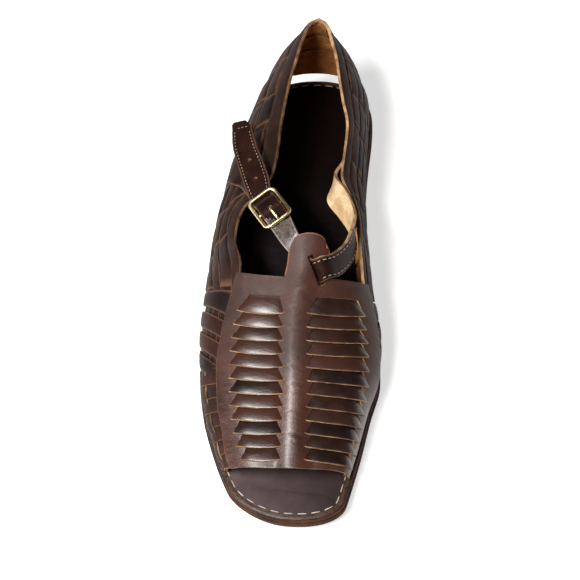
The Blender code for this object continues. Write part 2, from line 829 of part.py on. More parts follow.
    # tab, from its end to the vamp's back edge
    tab_rows = []
    steps = 7
    for k in range(steps + 1):
        share = tab_end + (throat - tab_end) * (k / steps) ** 1.0
        tab_rows.append(share)
    strip = [("o", "rib"), ("o", "spine"), ("o", "crest"), ("o", "ridge"), ("i", "crest"), ("i", "spine"), ("i", "rib")]
    reach = {"rib": 1.0, "spine": bar_inner / (bar_inner + bar_tuck), "crest": 0.5 * bar_inner / (bar_inner + bar_tuck),
             "ridge": 0.0}
    tab_spots = []
    for k, share in enumerate(tab_rows[:-1]):
        line = []
        for side, name in strip:
            part_way = reach[name] * (-1 if side == "o" else 1)
            across = part_way * (bar_inner + bar_tuck)
            back = tab_corner * (1 - (1 - abs(part_way) ** 2.2) ** (1 / 2.2)) * (1 - k / steps) ** 3
            here = share + back / sole_length
            lift = ease(share, tab_end + 0.02, throat)
            top = {"rib": base, "spine": base, "crest": base, "ridge": base}[name]
            goal = {"rib": margin, "spine": margin, "crest": base + ridge_lift * 0.85, "ridge": ridge_top}[name]
            top += (goal - top) * lift
            place, normal = vamp_surface(here, across), vamp_normal(here, across)
            pair = []
            for level in (inner, top):
                pair.append(len(points))
                points.append(place + normal * level)
            line.append(pair)
        tab_spots.append(line)
    line = []
    for side, name in strip:
        goal = {"rib": margin, "spine": margin, "crest": base + ridge_lift * 0.85, "ridge": ridge_top}[name]
        key = ("o" if name == "ridge" else side) + name
        line.append([spot(0, key, inner), spot(0, key, goal)])
    tab_spots.append(line)
    for k in range(steps):
        one, two = tab_spots[k], tab_spots[k + 1]
        for c in range(6):
            for level in (0, 1):
                add([one[c][level], one[c + 1][level], two[c + 1][level], two[c][level]])
        for c in (0, 6):
            add([one[c][0], one[c][1], two[c][1], two[c][0]])
    for c in range(6):
        add([tab_spots[0][c][0], tab_spots[0][c + 1][0], tab_spots[0][c + 1][1], tab_spots[0][c][1]])
    made = new_object("vamp", points, faces, look, collection)
    return made


def box_at(name, centre, axes, sizes, collection, look):
    """A box with its own three axes."""
    points = []
    for a in (-0.5, 0.5):
        for b in (-0.5, 0.5):
            for c in (-0.5, 0.5):
                points.append(centre + axes[0] * a * sizes[0] + axes[1] * b * sizes[1] + axes[2] * c * sizes[2])
    faces = [(0, 1, 3, 2), (4, 6, 7, 5), (0, 4, 5, 1), (2, 3, 7, 6), (0, 2, 6, 4), (1, 5, 7, 3)]
    return new_object(name, points, faces, look, collection)


def tube(name, path, radius, sides, closed, look, collection):
    """A round wire along a path."""
    count = len(path)
    points, faces = [], []
    up = Vector((0.1, 0.2, 0.97))
    for k, p in enumerate(path):
        ahead = path[(k + 1) % count] if closed or k < count - 1 else p
        behind = path[k - 1] if closed or k else p
        along = (ahead - behind).normalized()
        first = up - along * up.dot(along)
        first.normalize()
        up = first
        second = along.cross(first)
        for c in range(sides):
            turn = 2 * math.pi * (c + 0.5) / sides
            points.append(p + first * math.cos(turn) * radius + second * math.sin(turn) * radius)
    for k in range(count if closed else count - 1):
        for c in range(sides):
            n = (c + 1) % sides
            a, b = k * sides, ((k + 1) % count) * sides
            faces.append((a + c, a + n, b + n, b + c))
    if not closed:
        faces.append(tuple(range(sides)))
        faces.append(tuple(range((count - 1) * sides, count * sides)))
    return new_object(name, points, faces, look, collection)


def curve_through(points, steps):
    """Points of a smooth curve through the given ones, with this many steps between each two."""
    line = [points[0] * 2 - points[1]] + list(points) + [points[-1] * 2 - points[-2]]
    result = []
    for k in range(1, len(line) - 2):
        p0, p1, p2, p3 = line[k - 1:k + 3]
        for step in range(steps):
            t = step / steps
            result.append(0.5 * (p1 * 2 + (p2 - p0) * t + (p0 * 2 - p1 * 5 + p2 * 4 - p3) * t * t
                                 + (p1 * 3 - p0 - p2 * 3 + p3) * t * t * t))
    result.append(points[-1].copy())
    return result


def ribbon(name, edges, thickness, steps, look, collection):
    """A strap through pairs of edge points of its middle surface."""
    upper = curve_through([pair[0] for pair in edges], steps)
    lower = curve_through([pair[1] for pair in edges], steps)
    count = len(upper)
    points, faces = [], []
    for k in range(count):
        ahead, behind = min(k + 1, count - 1), max(k - 1, 0)
        along = upper[ahead] + lower[ahead] - upper[behind] - lower[behind]
        normal = (lower[k] - upper[k]).cross(along).normalized() * thickness / 2
        points += [upper[k] + normal, lower[k] + normal, lower[k] - normal, upper[k] - normal]
    for k in range(count - 1):
        a, b = 4 * k, 4 * k + 4
        faces += [(a + c, a + (c + 1) % 4, b + (c + 1) % 4, b + c) for c in range(4)]
    faces += [(0, 1, 2, 3), (4 * count - 4, 4 * count - 3, 4 * count - 2, 4 * count - 1)]
    made = new_object(name, points, faces, look, collection)
    return made


def boolean(target, operand, operation):
    modifier = target.modifiers.new(operand.name, "BOOLEAN")
    modifier.object = operand
    modifier.operation = operation
    modifier.solver = "EXACT"


def hide(cutter):
    cutter.hide_render = True
    cutter.display_type = "WIRE"


def edge_place(share, across, high):
    return Vector((across * ball_width, row_y(share), high * rim_height))


def buckle_axes():
    along = Vector(buckle_along).normalized()
    across = Vector(buckle_across)
    across = (across - along * across.dot(along)).normalized()
    return along, across, across.cross(along).normalized()


def buckle_place(along, across, out):
    """A point in the buckle's own frame: along the strap to its free end, over to the
    upper edge, and out of the strap's face."""
    axes = buckle_axes()
    return edge_place(*buckle_seat) + axes[0] * along + axes[1] * across + axes[2] * out


def frame_level(along):
    return buckle_curve * (along / (buckle_long / 2)) ** 2


def make_straps(look, metal, collection, cutters):
    half = strap_thickness / 2
    end = buckle_long / 2 - buckle_wire
    hump = bar_wire + 2 * piece_gap + short_strap_thickness + half
    dip = frame_level(end) - buckle_wire - piece_gap - half
    edges = []
    for place, room in ((0.490, 0.0002), (0.515, 0.0002), (0.545, 0.0010)):
        pair = []
        for up in (0.91, 0.67):
            wall = wall_surface(1, place, up)
            inward = wall_normal(1, place, up) * -(weave_thickness / 2 + piece_gap + half + room)
            pair.append(wall + inward)
        edges.append(tuple(pair))
    edges += [(edge_place(*row[:3]), edge_place(*row[3:])) for row in strap_front]
    # through the slit and under the tab
    drop = 0.0007 + piece_gap + half + 0.0008
    for (s1, a1), (s2, a2), depth in (
        ((slit_from[0] + 0.002, slit_from[1]), (slit_to[0] - 0.002, slit_to[1] - 0.0004), 0.5),
        ((0.5300, -0.0030), (0.5640, -0.0020), -1.6),
        ((0.4993, -0.0052), (0.5378, -0.0145), -1.0),
    ):
        pair = []
        for share, across in ((s1, a1), (s2, a2)):
            out = drop * depth if depth < 0 else 0.0003
            pair.append(vamp_surface(share, across) + vamp_normal(share, across) * out)
        edges.append(tuple(pair))
    dip -= 0.0002
    profile = [(-end - 0.0035, dip - 0.0001), (-end, dip - 0.0001), (-0.0096, dip), (-0.0066, 0.0010), (-0.0034, hump - 0.0004),
               (0.0, hump)]
    profile += [(-along, out) for along, out in reversed(profile[:-1])]
    for along, out in profile:
        edges.append((buckle_place(along, strap_width / 2, out), buckle_place(along, -strap_width / 2, out)))
    edges += [(edge_place(*row[:3]), edge_place(*row[3:])) for row in strap_tail]
    strap = ribbon("ankle_strap", edges, strap_thickness, 3, look, collection)
    axes = buckle_axes()
    hole = tube("prong_hole", [buckle_place(-0.0027, 0, 0.0005), buckle_place(-0.0027, 0, 0.0075)],
                prong_hole_radius, 10, False, look, cutters)
    hide(hole)
    boolean(strap, hole, "DIFFERENCE")
    # adjusting holes, one pitch apart from the prong towards the free end
    line = [(a + b) / 2 for a, b in edges[-len(strap_tail) - len(profile) // 2 - 1:]]
    line = curve_through(line, 6)
    walked, count = 0.0027, 1
    for k in range(1, len(line)):
        step = (line[k] - line[k - 1]).length
        while count <= strap_holes and walked + step >= strap_hole_pitch * count:
            t = (strap_hole_pitch * count - walked) / step
            place = line[k - 1].lerp(line[k], t)
            out = (line[k] - line[k - 1]).cross(axes[1]).normalized()
            hole = tube("strap_hole", [place - out * 0.0040, place + out * 0.0040], strap_hole_radius, 10, False, look,
                        cutters)
            hide(hole)
            boolean(strap, hole, "DIFFERENCE")
            count += 1
        walked += step
    # buckle
    path = []
    corner = 0.0030
    wide, long = buckle_wide / 2 - buckle_wire, end
    for sx, sy, start in ((1, 1, 0), (-1, 1, 90), (-1, -1, 180), (1, -1, 270)):
        for k in range(5):
            turn = math.radians(start + 22.5 * k)
            x = sx * (wide - corner) + corner * math.cos(turn)
            y = sy * (long - corner) + corner * math.sin(turn)
            path.append((y, x))
    dense = []
    for k, (along, across) in enumerate(path):
        ahead = path[(k + 1) % len(path)]
        dense.append((along, across))
        if math.hypot(ahead[0] - along, ahead[1] - across) > 0.004:
            for t in (0.33, 0.67):
                dense.append((along + (ahead[0] - along) * t, across + (ahead[1] - across) * t))
    frame = tube("buckle_frame", [buckle_place(a, c, frame_level(a)) for a, c in dense], buckle_wire, 8, True, metal,
                 collection)
    bar = tube("centre_bar", [buckle_place(0, -wide, 0), buckle_place(0, wide, 0)], bar_wire, 8, False, metal, cutters)
    hide(bar)
    boolean(frame, bar, "UNION")
    shade_round(frame)
    ring = bar_wire + piece_gap + prong_wire
    prong = [(ring * math.cos(math.radians(t)), ring * math.sin(math.radians(t))) for t in range(20, -181, -40)]
    prong += [(-ring - 0.0003, 0.0012), (-0.0027, 0.0030), (-0.0030, 0.0046), (-0.0044, 0.0058), (-0.0068, 0.0054)]
    prong += [(-end - 0.0006, frame_level(end) + buckle_wire + piece_gap + prong_wire + 0.0001)]
    shade_round(tube("buckle_prong", [buckle_place(a, 0, out) for a, out in prong], prong_wire, 8, False, metal, collection))
    # short strap: round the centre bar, back under the free end and down on the outer quarter
    fold = bar_wire + piece_gap + short_strap_thickness / 2
    turns = [(0.0045, 0.0003), (0.0025, fold - 0.0004), (0.0, fold)]
    turns += [(fold * math.cos(math.radians(t)), fold * math.sin(math.radians(t))) for t in (135, 180, 225)]
    turns += [(0.0, -fold), (0.0050, -fold - 0.0009), (end, dip - half - piece_gap - short_strap_thickness / 2 - 0.0002)]
    turns += [(end + 0.004, dip - half - piece_gap - short_strap_thickness / 2 - 0.0012)]
    half_width = short_strap_width / 2
    edges = [(buckle_place(a, half_width, out), buckle_place(a, -half_width, out)) for a, out in turns]
    off = weave_thickness / 2 + weave_step + piece_gap + short_strap_thickness / 2 + 0.0004
    for upper_place, lower_place in (((0.575, 0.90), (0.640, 0.80)), ((0.555, 0.76), (0.622, 0.66)),
                                     ((0.535, 0.62), (0.602, 0.52))):
        pair = []
        for along, up in (upper_place, lower_place):
            pair.append(wall_surface(-1, along, up) + wall_normal(-1, along, up) * off)
        edges.append(tuple(pair))
    short = ribbon("buckle_strap", edges, short_strap_thickness, 3, look, collection)
    slot = box_at("prong_slot", buckle_place(0, 0, 0), axes, (0.0066, 0.0026, 0.0070), cutters, look)
    hide(slot)
    boolean(short, slot, "DIFFERENCE")
    return strap


def main():
    for old in list(bpy.data.objects):
        bpy.data.objects.remove(old)
    sandal = bpy.data.collections.new("sandal")
    cutters = bpy.data.collections.new("cutters")
    bpy.context.scene.collection.children.link(sandal)
    bpy.context.scene.collection.children.link(cutters)
    tan = material("sole_leather", leather_tan)
    dark = material("dark_leather", leather_dark)
    brown = material("vamp_leather", leather_vamp)
    insole_look = material("insole_leather", leather_insole)
    metal = material("buckle_brass", brass)
    shares = end_spaced(40)
    sole_layer("outsole", shares, 0.0, underside_z, lambda s: underside_z(s) + outsole_thickness, tan, sandal)
    sole_layer("insole", shares, insole_inset, insole_bottom, insole_top, insole_look, sandal)
    make_heel(tan, sandal)
    upper = make_weave(dark, sandal)
    vamp = make_vamp(brown, cutters)
    hide(vamp)
    start, finish = vamp_surface(*slit_from), vamp_surface(*slit_to)
    middle = vamp_surface((slit_from[0] + slit_to[0]) / 2, (slit_from[1] + slit_to[1]) / 2)
    line = (finish - start).normalized()
    out = vamp_normal((slit_from[0] + slit_to[0]) / 2, (slit_from[1] + slit_to[1]) / 2)
    out = (out - line * out.dot(line)).normalized()
    slit = box_at("slit", (start + finish + middle) / 3, (line, line.cross(out), out),
                  ((finish - start).length + 0.0030, slit_gap, 0.016), cutters, dark)
    hide(slit)
    boolean(vamp, slit, "DIFFERENCE")
    boolean(upper, vamp, "UNION")
    make_straps(dark, metal, sandal, cutters)


main()
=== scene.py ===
# Huarache sandal, right foot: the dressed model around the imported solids
import math

import bmesh
import bpy
import numpy as np
from mathutils import Matrix, Vector


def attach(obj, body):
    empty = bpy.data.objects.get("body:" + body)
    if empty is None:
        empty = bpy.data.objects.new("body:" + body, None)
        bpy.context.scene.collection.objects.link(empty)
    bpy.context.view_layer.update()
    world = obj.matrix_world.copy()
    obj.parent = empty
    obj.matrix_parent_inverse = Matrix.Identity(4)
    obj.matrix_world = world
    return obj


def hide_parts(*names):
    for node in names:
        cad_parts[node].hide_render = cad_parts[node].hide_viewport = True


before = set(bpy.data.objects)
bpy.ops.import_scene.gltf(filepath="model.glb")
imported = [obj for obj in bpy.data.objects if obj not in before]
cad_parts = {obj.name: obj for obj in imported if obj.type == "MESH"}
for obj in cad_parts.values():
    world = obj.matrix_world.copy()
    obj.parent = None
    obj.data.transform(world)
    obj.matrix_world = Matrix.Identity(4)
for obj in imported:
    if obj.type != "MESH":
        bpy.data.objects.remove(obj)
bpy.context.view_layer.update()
print("frame loaded")

# Sizes in metres, as in the part: toe to -Y, inner side of the foot to +X, ground at 0
shoe = {
    "length": 0.301, "ball": 0.106, "heelEnd": 0.037, "heelHeight": 0.0092, "heelLength": 0.074,
    "toeSpring": 0.005, "outsole": 0.0050, "insole": 0.0035, "gap": 0.0003,
    "heelRound": 0.034, "toeRoundOuter": 0.020, "toeRoundInner": 0.013, "cornerPower": 2.3,
    "ridgeHeight": 0.065, "rimHeight": 0.078, "stitchMargin": 0.0055, "heelOverhang": 0.0033,
    "heelSlit": 0.0026, "throatEnd": 0.560,
}

outline = [
    (0.00, 0.352, 0.345), (0.12, 0.366, 0.350), (0.25, 0.412, 0.328), (0.40, 0.478, 0.318),
    (0.52, 0.532, 0.352), (0.64, 0.574, 0.424), (0.70, 0.568, 0.430), (0.78, 0.533, 0.380),
    (0.86, 0.462, 0.335), (0.93, 0.375, 0.288), (1.00, 0.255, 0.236),
]  # share of the length, outer and inner half width as shares of the ball width
underside = [
    (0.00, 1.00, 0.00), (0.26, 1.00, 0.00), (0.36, 0.80, 0.00), (0.46, 0.42, 0.00), (0.56, 0.08, 0.00),
    (0.61, 0.00, 0.00), (0.76, 0.00, 0.00), (0.84, 0.00, 0.14), (0.92, 0.00, 0.50), (1.00, 0.00, 1.00),
]  # share of the length, share of the heel height, share of the toe spring
ridge = [
    (0.42, 1.150, 0.065, 2.1), (0.48, 1.080, 0.064, 2.1), (0.53, 0.985, 0.050, 2.2),
    (0.59, 0.810, 0.010, 2.3), (0.65, 0.665, -0.018, 2.4), (0.71, 0.550, -0.014, 2.6),
    (0.78, 0.435, -0.007, 2.8), (0.85, 0.325, -0.009, 2.9), (0.93, 0.205, -0.010, 3.0),
]  # share of the length, height, offset to the inner side, fullness of the arch
bulge = [
    (0.00, 0.60, 0.60), (0.09, 0.30, 0.40), (0.14, 0.45, 0.50), (0.20, 1.20, 0.60),
    (0.27, 1.85, 0.75), (0.36, 1.95, 1.00), (0.44, 1.70, 1.15), (0.54, 1.15, 1.25),
    (0.64, 0.75, 1.05), (0.74, 0.50, 0.60), (0.93, 0.20, 0.20),
]  # share of the length, outer and inner swell as shares of the stitch margin
collar = [
    (0.000, 0.042, 0.042, 1.000), (0.010, -0.004, 0.082, 0.996), (0.048, -0.043, 0.117, 0.978),
    (0.087, -0.075, 0.148, 0.930), (0.131, -0.105, 0.168, 0.886), (0.173, -0.126, 0.190, 0.850),
    (0.230, -0.146, 0.220, 0.815), (0.290, -0.158, 0.208, 0.780), (0.335, -0.185, 0.196, 0.735),
    (0.365, -0.250, 0.235, 0.672), (0.400, -0.345, 0.280, 0.628), (0.450, -0.372, 0.300, 0.625),
    (0.510, -0.372, 0.310, 0.655), (0.560, -0.345, 0.300, 0.700),
]  # share of the length, outer edge, inner edge, height
vampEdges = [
    (0.54, -0.385, -0.300, 0.355, 0.420), (0.60, -0.388, -0.312, 0.370, 0.480),
    (0.66, -0.410, -0.334, 0.400, 0.530), (0.72, -0.434, -0.350, 0.405, 0.540),
    (0.78, -0.426, -0.347, 0.390, 0.520), (0.84, -0.385, -0.318, 0.360, 0.475),
    (0.89, -0.355, -0.270, 0.325, 0.430), (0.92, -0.300, -0.232, 0.300, 0.395),
]  # share of the length, vamp's outer edge, bars' outer and inner ends, vamp's inner edge


def smoothCurve(rows, column):
    x = np.array([row[0] for row in rows])
    y = np.array([row[column] for row in rows])
    h = np.diff(x)
    d = np.diff(y) / h
    m = np.zeros(len(x))
    m[0], m[-1] = d[0], d[-1]
    for k in range(1, len(x) - 1):
        if d[k - 1] * d[k] > 0:
            w1, w2 = 2 * h[k] + h[k - 1], h[k] + 2 * h[k - 1]
            m[k] = (w1 + w2) / (w1 / d[k - 1] + w2 / d[k])

    def value(at):
        at = np.clip(at, x[0], x[-1])
        k = np.clip(np.searchsorted(x, at, side="right") - 1, 0, len(h) - 1)
        t = (at - x[k]) / h[k]
        return (y[k] * (1 + 2 * t) * (1 - t) ** 2 + m[k] * h[k] * t * (1 - t) ** 2
                + y[k + 1] * t * t * (3 - 2 * t) + m[k + 1] * h[k] * t * t * (t - 1))

    return value


halfWidth = {-1: smoothCurve(outline, 1), 1: smoothCurve(outline, 2)}
heelPart, springPart = smoothCurve(underside, 1), smoothCurve(underside, 2)
ridgeUp, ridgeSide, ridgeFull = (smoothCurve(ridge, k) for k in (1, 2, 3))
swellOf = {-1: smoothCurve(bulge, 1), 1: smoothCurve(bulge, 2)}
collarX = {-1: smoothCurve(collar, 1), 1: smoothCurve(collar, 2)}
collarUp = smoothCurve(collar, 3)
vampEdge = {-1: smoothCurve(vampEdges, 1), 1: smoothCurve(vampEdges, 4)}
barEnd = {-1: smoothCurve(vampEdges, 2), 1: smoothCurve(vampEdges, 3)}


def ease(value, low, high):
    t = np.clip((value - low) / (high - low), 0.0, 1.0)
    return t * t * (3 - 2 * t)


def lerp(a, b, t):
    return a + (b - a) * t


def lengthsAlong(line):
    return np.concatenate([[0], np.cumsum(np.linalg.norm(np.diff(line, axis=0), axis=1))])


def rowY(share):
    return shoe["heelEnd"] - share * shoe["length"]


def rounding(distance, reach):
    power = shoe["cornerPower"]
    left = 1 - np.clip(distance, 0, reach) / reach
    return (1 - left ** power) ** (1 / power)


def soleX(share, side):
    width = halfWidth[side](share) * shoe["ball"]
    width = width * rounding(share * shoe["length"], shoe["heelRound"])
    toe = shoe["toeRoundOuter"] if side < 0 else shoe["toeRoundInner"]
    return side * width * rounding((1 - share) * shoe["length"], toe)


def groundZ(share):
    return shoe["heelHeight"] * heelPart(share) + shoe["toeSpring"] * springPart(share)


def insoleTop(share):
    return groundZ(share) + shoe["outsole"] + shoe["gap"] + shoe["insole"]


def unit(v):
    return v / np.maximum(np.linalg.norm(v, axis=-1, keepdims=True), 1e-12)


sectionStore = {}


def section(share):
    # cross section of the vamp's arch, with the distance over it from the ridge
    key = round(float(share), 5)
    if key not in sectionStore:
        floor = insoleTop(key) + shoe["gap"]
        height = shoe["ridgeHeight"] * ridgeUp(key)
        middle = ridgeSide(key) * shoe["ball"]
        full = ridgeFull(key)
        turn = np.linspace(0, math.pi / 2, 97)
        halves = []
        for side in (-1, 1):
            reach = abs(soleX(key, side) - side * shoe["stitchMargin"] - middle)
            swell = swellOf[side](key) * shoe["stitchMargin"]
            up = np.clip(np.cos(turn), 0, 1) ** (2 / full)
            out = reach * np.sin(turn) ** (2 / full) + swell * np.sin(math.pi * up ** 0.6)
            halves.append(np.stack([middle + side * out, floor + height * up], axis=1))
        lengths = [lengthsAlong(h) for h in halves]
        points = np.concatenate([halves[0][::-1], halves[1][1:]])
        sectionStore[key] = points, np.concatenate([-lengths[0][::-1], lengths[1][1:]])
    return sectionStore[key]


def vampPoint(share, across):
    points, distance = section(share)
    x, z = (np.interp(across, distance, points[:, k]) for k in (0, 1))
    return np.array([x, rowY(share), z])


def vampNormal(share, across):
    along = vampPoint(share + 0.006, across) - vampPoint(share - 0.006, across)
    over = vampPoint(share, across + 0.002) - vampPoint(share, across - 0.002)
    return unit(np.cross(along, over))


def sectionEnd(share, side):
    distance = section(share)[1]
    return float(distance[0] if side < 0 else distance[-1])


def pathByLength(line):
    line = np.asarray(line, float)
    along = lengthsAlong(line[:, :3])

    def at(share):
        where = min(max(share, 0.0), 1.0) * along[-1]
        return np.array([np.interp(where, along, line[:, k]) for k in range(line.shape[1])])

    return at


wallStore = {}


def wallPaths(side):
    if side in wallStore:
        return wallStore[side]
    shares = shoe["throatEnd"] * (1 - np.cos(math.pi / 2 * np.arange(121) / 120))
    edge = np.array([(soleX(s, side), rowY(s)) for s in shares])
    tangent = np.gradient(edge, axis=0)
    tangent[0] = (side, 0)
    tangent = unit(tangent)
    outward = np.stack([-tangent[:, 1], tangent[:, 0]], axis=1) * side
    arc = lengthsAlong(edge)
    foot = []
    for k, share in enumerate(shares):
        inward = lerp(-shoe["heelOverhang"], shoe["stitchMargin"], ease(arc[k], 0.013, 0.042))
        lift = lerp(shoe["heelSlit"], shoe["gap"], ease(arc[k], 0.013, 0.026))
        x, y = edge[k] - outward[k] * inward
        foot.append((x, y, insoleTop(share) + lift, outward[k][0], outward[k][1]))
    top = [(collarX[side](s) * shoe["ball"], rowY(s), collarUp(s) * shoe["rimHeight"])
           for s in shoe["throatEnd"] * (1 - np.cos(math.pi / 2 * np.arange(161) / 160))]
    wallStore[side] = pathByLength(foot), pathByLength(top)
    return wallStore[side]


def wallPoint(side, along, up):
    # along: 0 at the heel's middle, 1 at the throat; up: 0 at the foot, 1 at the collar
    share = shoe["throatEnd"] * along
    ontoVamp = ease(along, 0.84, 1.0)
    point = np.zeros(3)
    if ontoVamp < 1:
        footAt, topAt = wallPaths(side)
        foot, top = footAt(along), topAt(along)
        full, reach = 2.1, 0.78
        drawn = [1 - (1 - part ** full) ** (1 / full) for part in (max(up, 0.0) * reach, reach)]
        q = drawn[0] / drawn[1]
        swell = swellOf[side](share) * shoe["stitchMargin"]
        swell *= math.sin(math.pi * min(max(up, 0.0), 1.0) ** 0.75)
        point = np.array([foot[0] + (top[0] - foot[0]) * q + foot[3] * swell,
                          foot[1] + (top[1] - foot[1]) * q + foot[4] * swell,
                          foot[2] + (top[2] - foot[2]) * up])
    if ontoVamp > 0:
        start = sectionEnd(share, side)
        edge = vampEdge[side](share) * shoe["ball"] - side * 0.005 * ease(along, 0.98, 1.06)
        point = point * (1 - ontoVamp) + vampPoint(share, start + (edge - start) * up) * ontoVamp
    return point


def wallNormal(side, along, up):
    ahead = wallPoint(side, along + 0.02, up) - wallPoint(side, max(along - 0.02, 0.0), up)
    if along < 0.02:
        ahead = np.array([side, 0.0, 0.0])
    upward = wallPoint(side, along, min(up + 0.03, 1.0)) - wallPoint(side, along, max(up - 0.03, 0.0))
    return unit(np.cross(upward, ahead) * side)


class Sheets:
    # open leather surfaces gathered into one mesh, with a tone and a wear value at each point
    def __init__(self):
        self.points, self.faces, self.slots, self.tones, self.wears, self.found = [], [], [], [], [], {}

    def spot(self, point, tone=0.5, wear=0.0, key=None):
        mark = (key,) + tuple(np.round(point, 6))
        if mark not in self.found:
            self.found[mark] = len(self.points)
            self.points.append(tuple(float(v) for v in point))
            self.tones.append(tone)
            self.wears.append(wear)
        return self.found[mark]

    def face(self, corners, slot=0):
        tidy = [c for k, c in enumerate(corners) if c != corners[k - 1]]
        if len(tidy) > 2:
            self.faces.append(tidy)
            self.slots.append(slot)

    def grid(self, rows, tone=0.5, wear=None, slot=0, key=None, flip=False):
        marks = [[self.spot(p, tone, wear(i, j) if wear else 0.0, key) for j, p in enumerate(row)]
                 for i, row in enumerate(rows)]
        for i in range(len(marks) - 1):
            for j in range(len(marks[0]) - 1):
                corners = [marks[i][j], marks[i][j + 1], marks[i + 1][j + 1], marks[i + 1][j]]
                self.face(corners[::-1] if flip else corners, slot)

    def joinRings(self, low, high, slot=0):
        # quads between two closed rings of the same count
        for k in range(len(low)):
            after = (k + 1) % len(low)
            self.face([low[k], low[after], high[after], high[k]], slot)

    def tube(self, line, radii, sides=8, slot=0, tone=0.5, closed=False):
        line = [Vector(p) for p in line]
        count = len(line)
        rings = []
        side = None
        for k, place in enumerate(line):
            if closed:
                ahead = line[(k + 1) % count] - line[k - 1]
            else:
                ahead = line[min(k + 1, count - 1)] - line[max(k - 1, 0)]
            ahead.normalize()
            if side is None:
                side = ahead.orthogonal()
            side = (side - ahead * side.dot(ahead)).normalized()
            other = ahead.cross(side)
            radius = radii[k] if hasattr(radii, "__len__") else radii
            ring = []
            for s in range(sides):
                turn = 2 * math.pi * s / sides
                ring.append(len(self.points))
                self.points.append(tuple(place + (side * math.cos(turn) + other * math.sin(turn)) * radius))
                self.tones.append(tone)
                self.wears.append(0.0)
            rings.append(ring)
        last = count if closed else count - 1
        for k in range(last):
            self.joinRings(rings[k], rings[(k + 1) % count], slot)
        if not closed:
            self.face(rings[0][::-1], slot)
            self.face(rings[-1], slot)

    def piece(self, name, looks, smooth=True):
        mesh = bpy.data.meshes.new(name)
        mesh.from_pydata(self.points, [], self.faces)
        for look in looks:
            mesh.materials.append(look)
        mesh.polygons.foreach_set("material_index", self.slots)
        for label, values in (("tone", self.tones), ("wear", self.wears)):
            layer = mesh.attributes.new(label, "FLOAT", "POINT")
            layer.data.foreach_set("value", values)
        if smooth:
            mesh.shade_smooth()
        made = bpy.data.objects.new(name, mesh)
        bpy.context.scene.collection.objects.link(made)
        return made


def thicken(piece, thickness, edge):
    # the open surface is the outer face; the rim is raw edge and the back is the flesh side
    solid = piece.modifiers.new("thickness", "SOLIDIFY")
    solid.thickness = thickness
    solid.offset = -1
    solid.material_offset_rim = 1
    solid.material_offset = 2
    return edgeRound(piece, edge) if edge else piece


def edgeRound(piece, width):
    bevel = piece.modifiers.new("edges", "BEVEL")
    bevel.width = width
    bevel.segments = 2
    bevel.limit_method = "ANGLE"
    bevel.angle_limit = math.radians(50)
    bevel.material = 1
    return piece


def carry(piece, node):
    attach(piece, "root")
    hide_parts(node)
    return piece


def carryUpper(made, name, looks, thickness, edge):
    return carry(thicken(made.piece(name, looks), thickness, edge), "upper")


class Value:
    # a socket that takes part in sums
    def __init__(self, finish, socket):
        self.finish, self.socket = finish, socket

    def work(self, operation, first, second):
        return self.finish.node("ShaderNodeMath", {"operation": operation}, {0: first, 1: second})

    __add__ = lambda self, other: self.work("ADD", self, other)
    __radd__ = lambda self, other: self.work("ADD", other, self)
    __sub__ = lambda self, other: self.work("SUBTRACT", self, other)
    __rsub__ = lambda self, other: self.work("SUBTRACT", other, self)
    __mul__ = lambda self, other: self.work("MULTIPLY", self, other)
    __rmul__ = lambda self, other: self.work("MULTIPLY", other, self)


class Finish:
    def __init__(self, name):
        self.material = bpy.data.materials.new(name)
        self.material.use_nodes = True
        self.tree = self.material.node_tree
        self.shader = self.tree.nodes["Principled BSDF"]
        self.place = self.node("ShaderNodeTexCoord", out="Object")

    def feed(self, socket, value):
        if isinstance(value, Value):
            self.tree.links.new(value.socket, socket)
        elif hasattr(socket, "default_value"):
            socket.default_value = value

    def node(self, kind, settings=None, inputs=None, out=0):
        made = self.tree.nodes.new(kind)
        for key, value in (settings or {}).items():
            setattr(made, key, value)
        for key, value in (inputs or {}).items():
            self.feed(made.inputs[key], value)
        return Value(self, made.outputs[out])

    def stretch(self, scale, turn=(0, 0, 0)):
        return self.node("ShaderNodeMapping", {}, {"Vector": self.place, "Scale": scale, "Rotation": turn})

    def noise(self, scale, detail=3, rough=0.55, place=None):
        inputs = {"Vector": place or self.place, "Scale": scale, "Detail": detail, "Roughness": rough}
        return self.node("ShaderNodeTexNoise", {}, inputs)

    def cells(self, scale):
        return self.node("ShaderNodeTexVoronoi", {"feature": "F1"}, {"Vector": self.place, "Scale": scale})

    def band(self, value, low, high):
        return self.node("ShaderNodeMapRange", {"interpolation_type": "SMOOTHSTEP"},
                         {"Value": value, "From Min": low, "From Max": high})

    def blendColour(self, factor, first, second):
        return self.node("ShaderNodeMix", {"data_type": "RGBA"}, {0: factor, 6: first, 7: second}, out=2)

    def axis(self, name):
        return self.node("ShaderNodeSeparateXYZ", {}, {"Vector": self.place}, out=name)

    def mark(self, name):
        return self.node("ShaderNodeAttribute", {"attribute_name": name}, out="Fac")

    def bump(self, height, distance, strength=1.0):
        return self.node("ShaderNodeBump", {}, {"Height": height, "Distance": distance, "Strength": strength})

    def finish(self, **values):
        for key, value in values.items():
            self.feed(self.shader.inputs[key.replace("_", " ")], value)
        return self.material


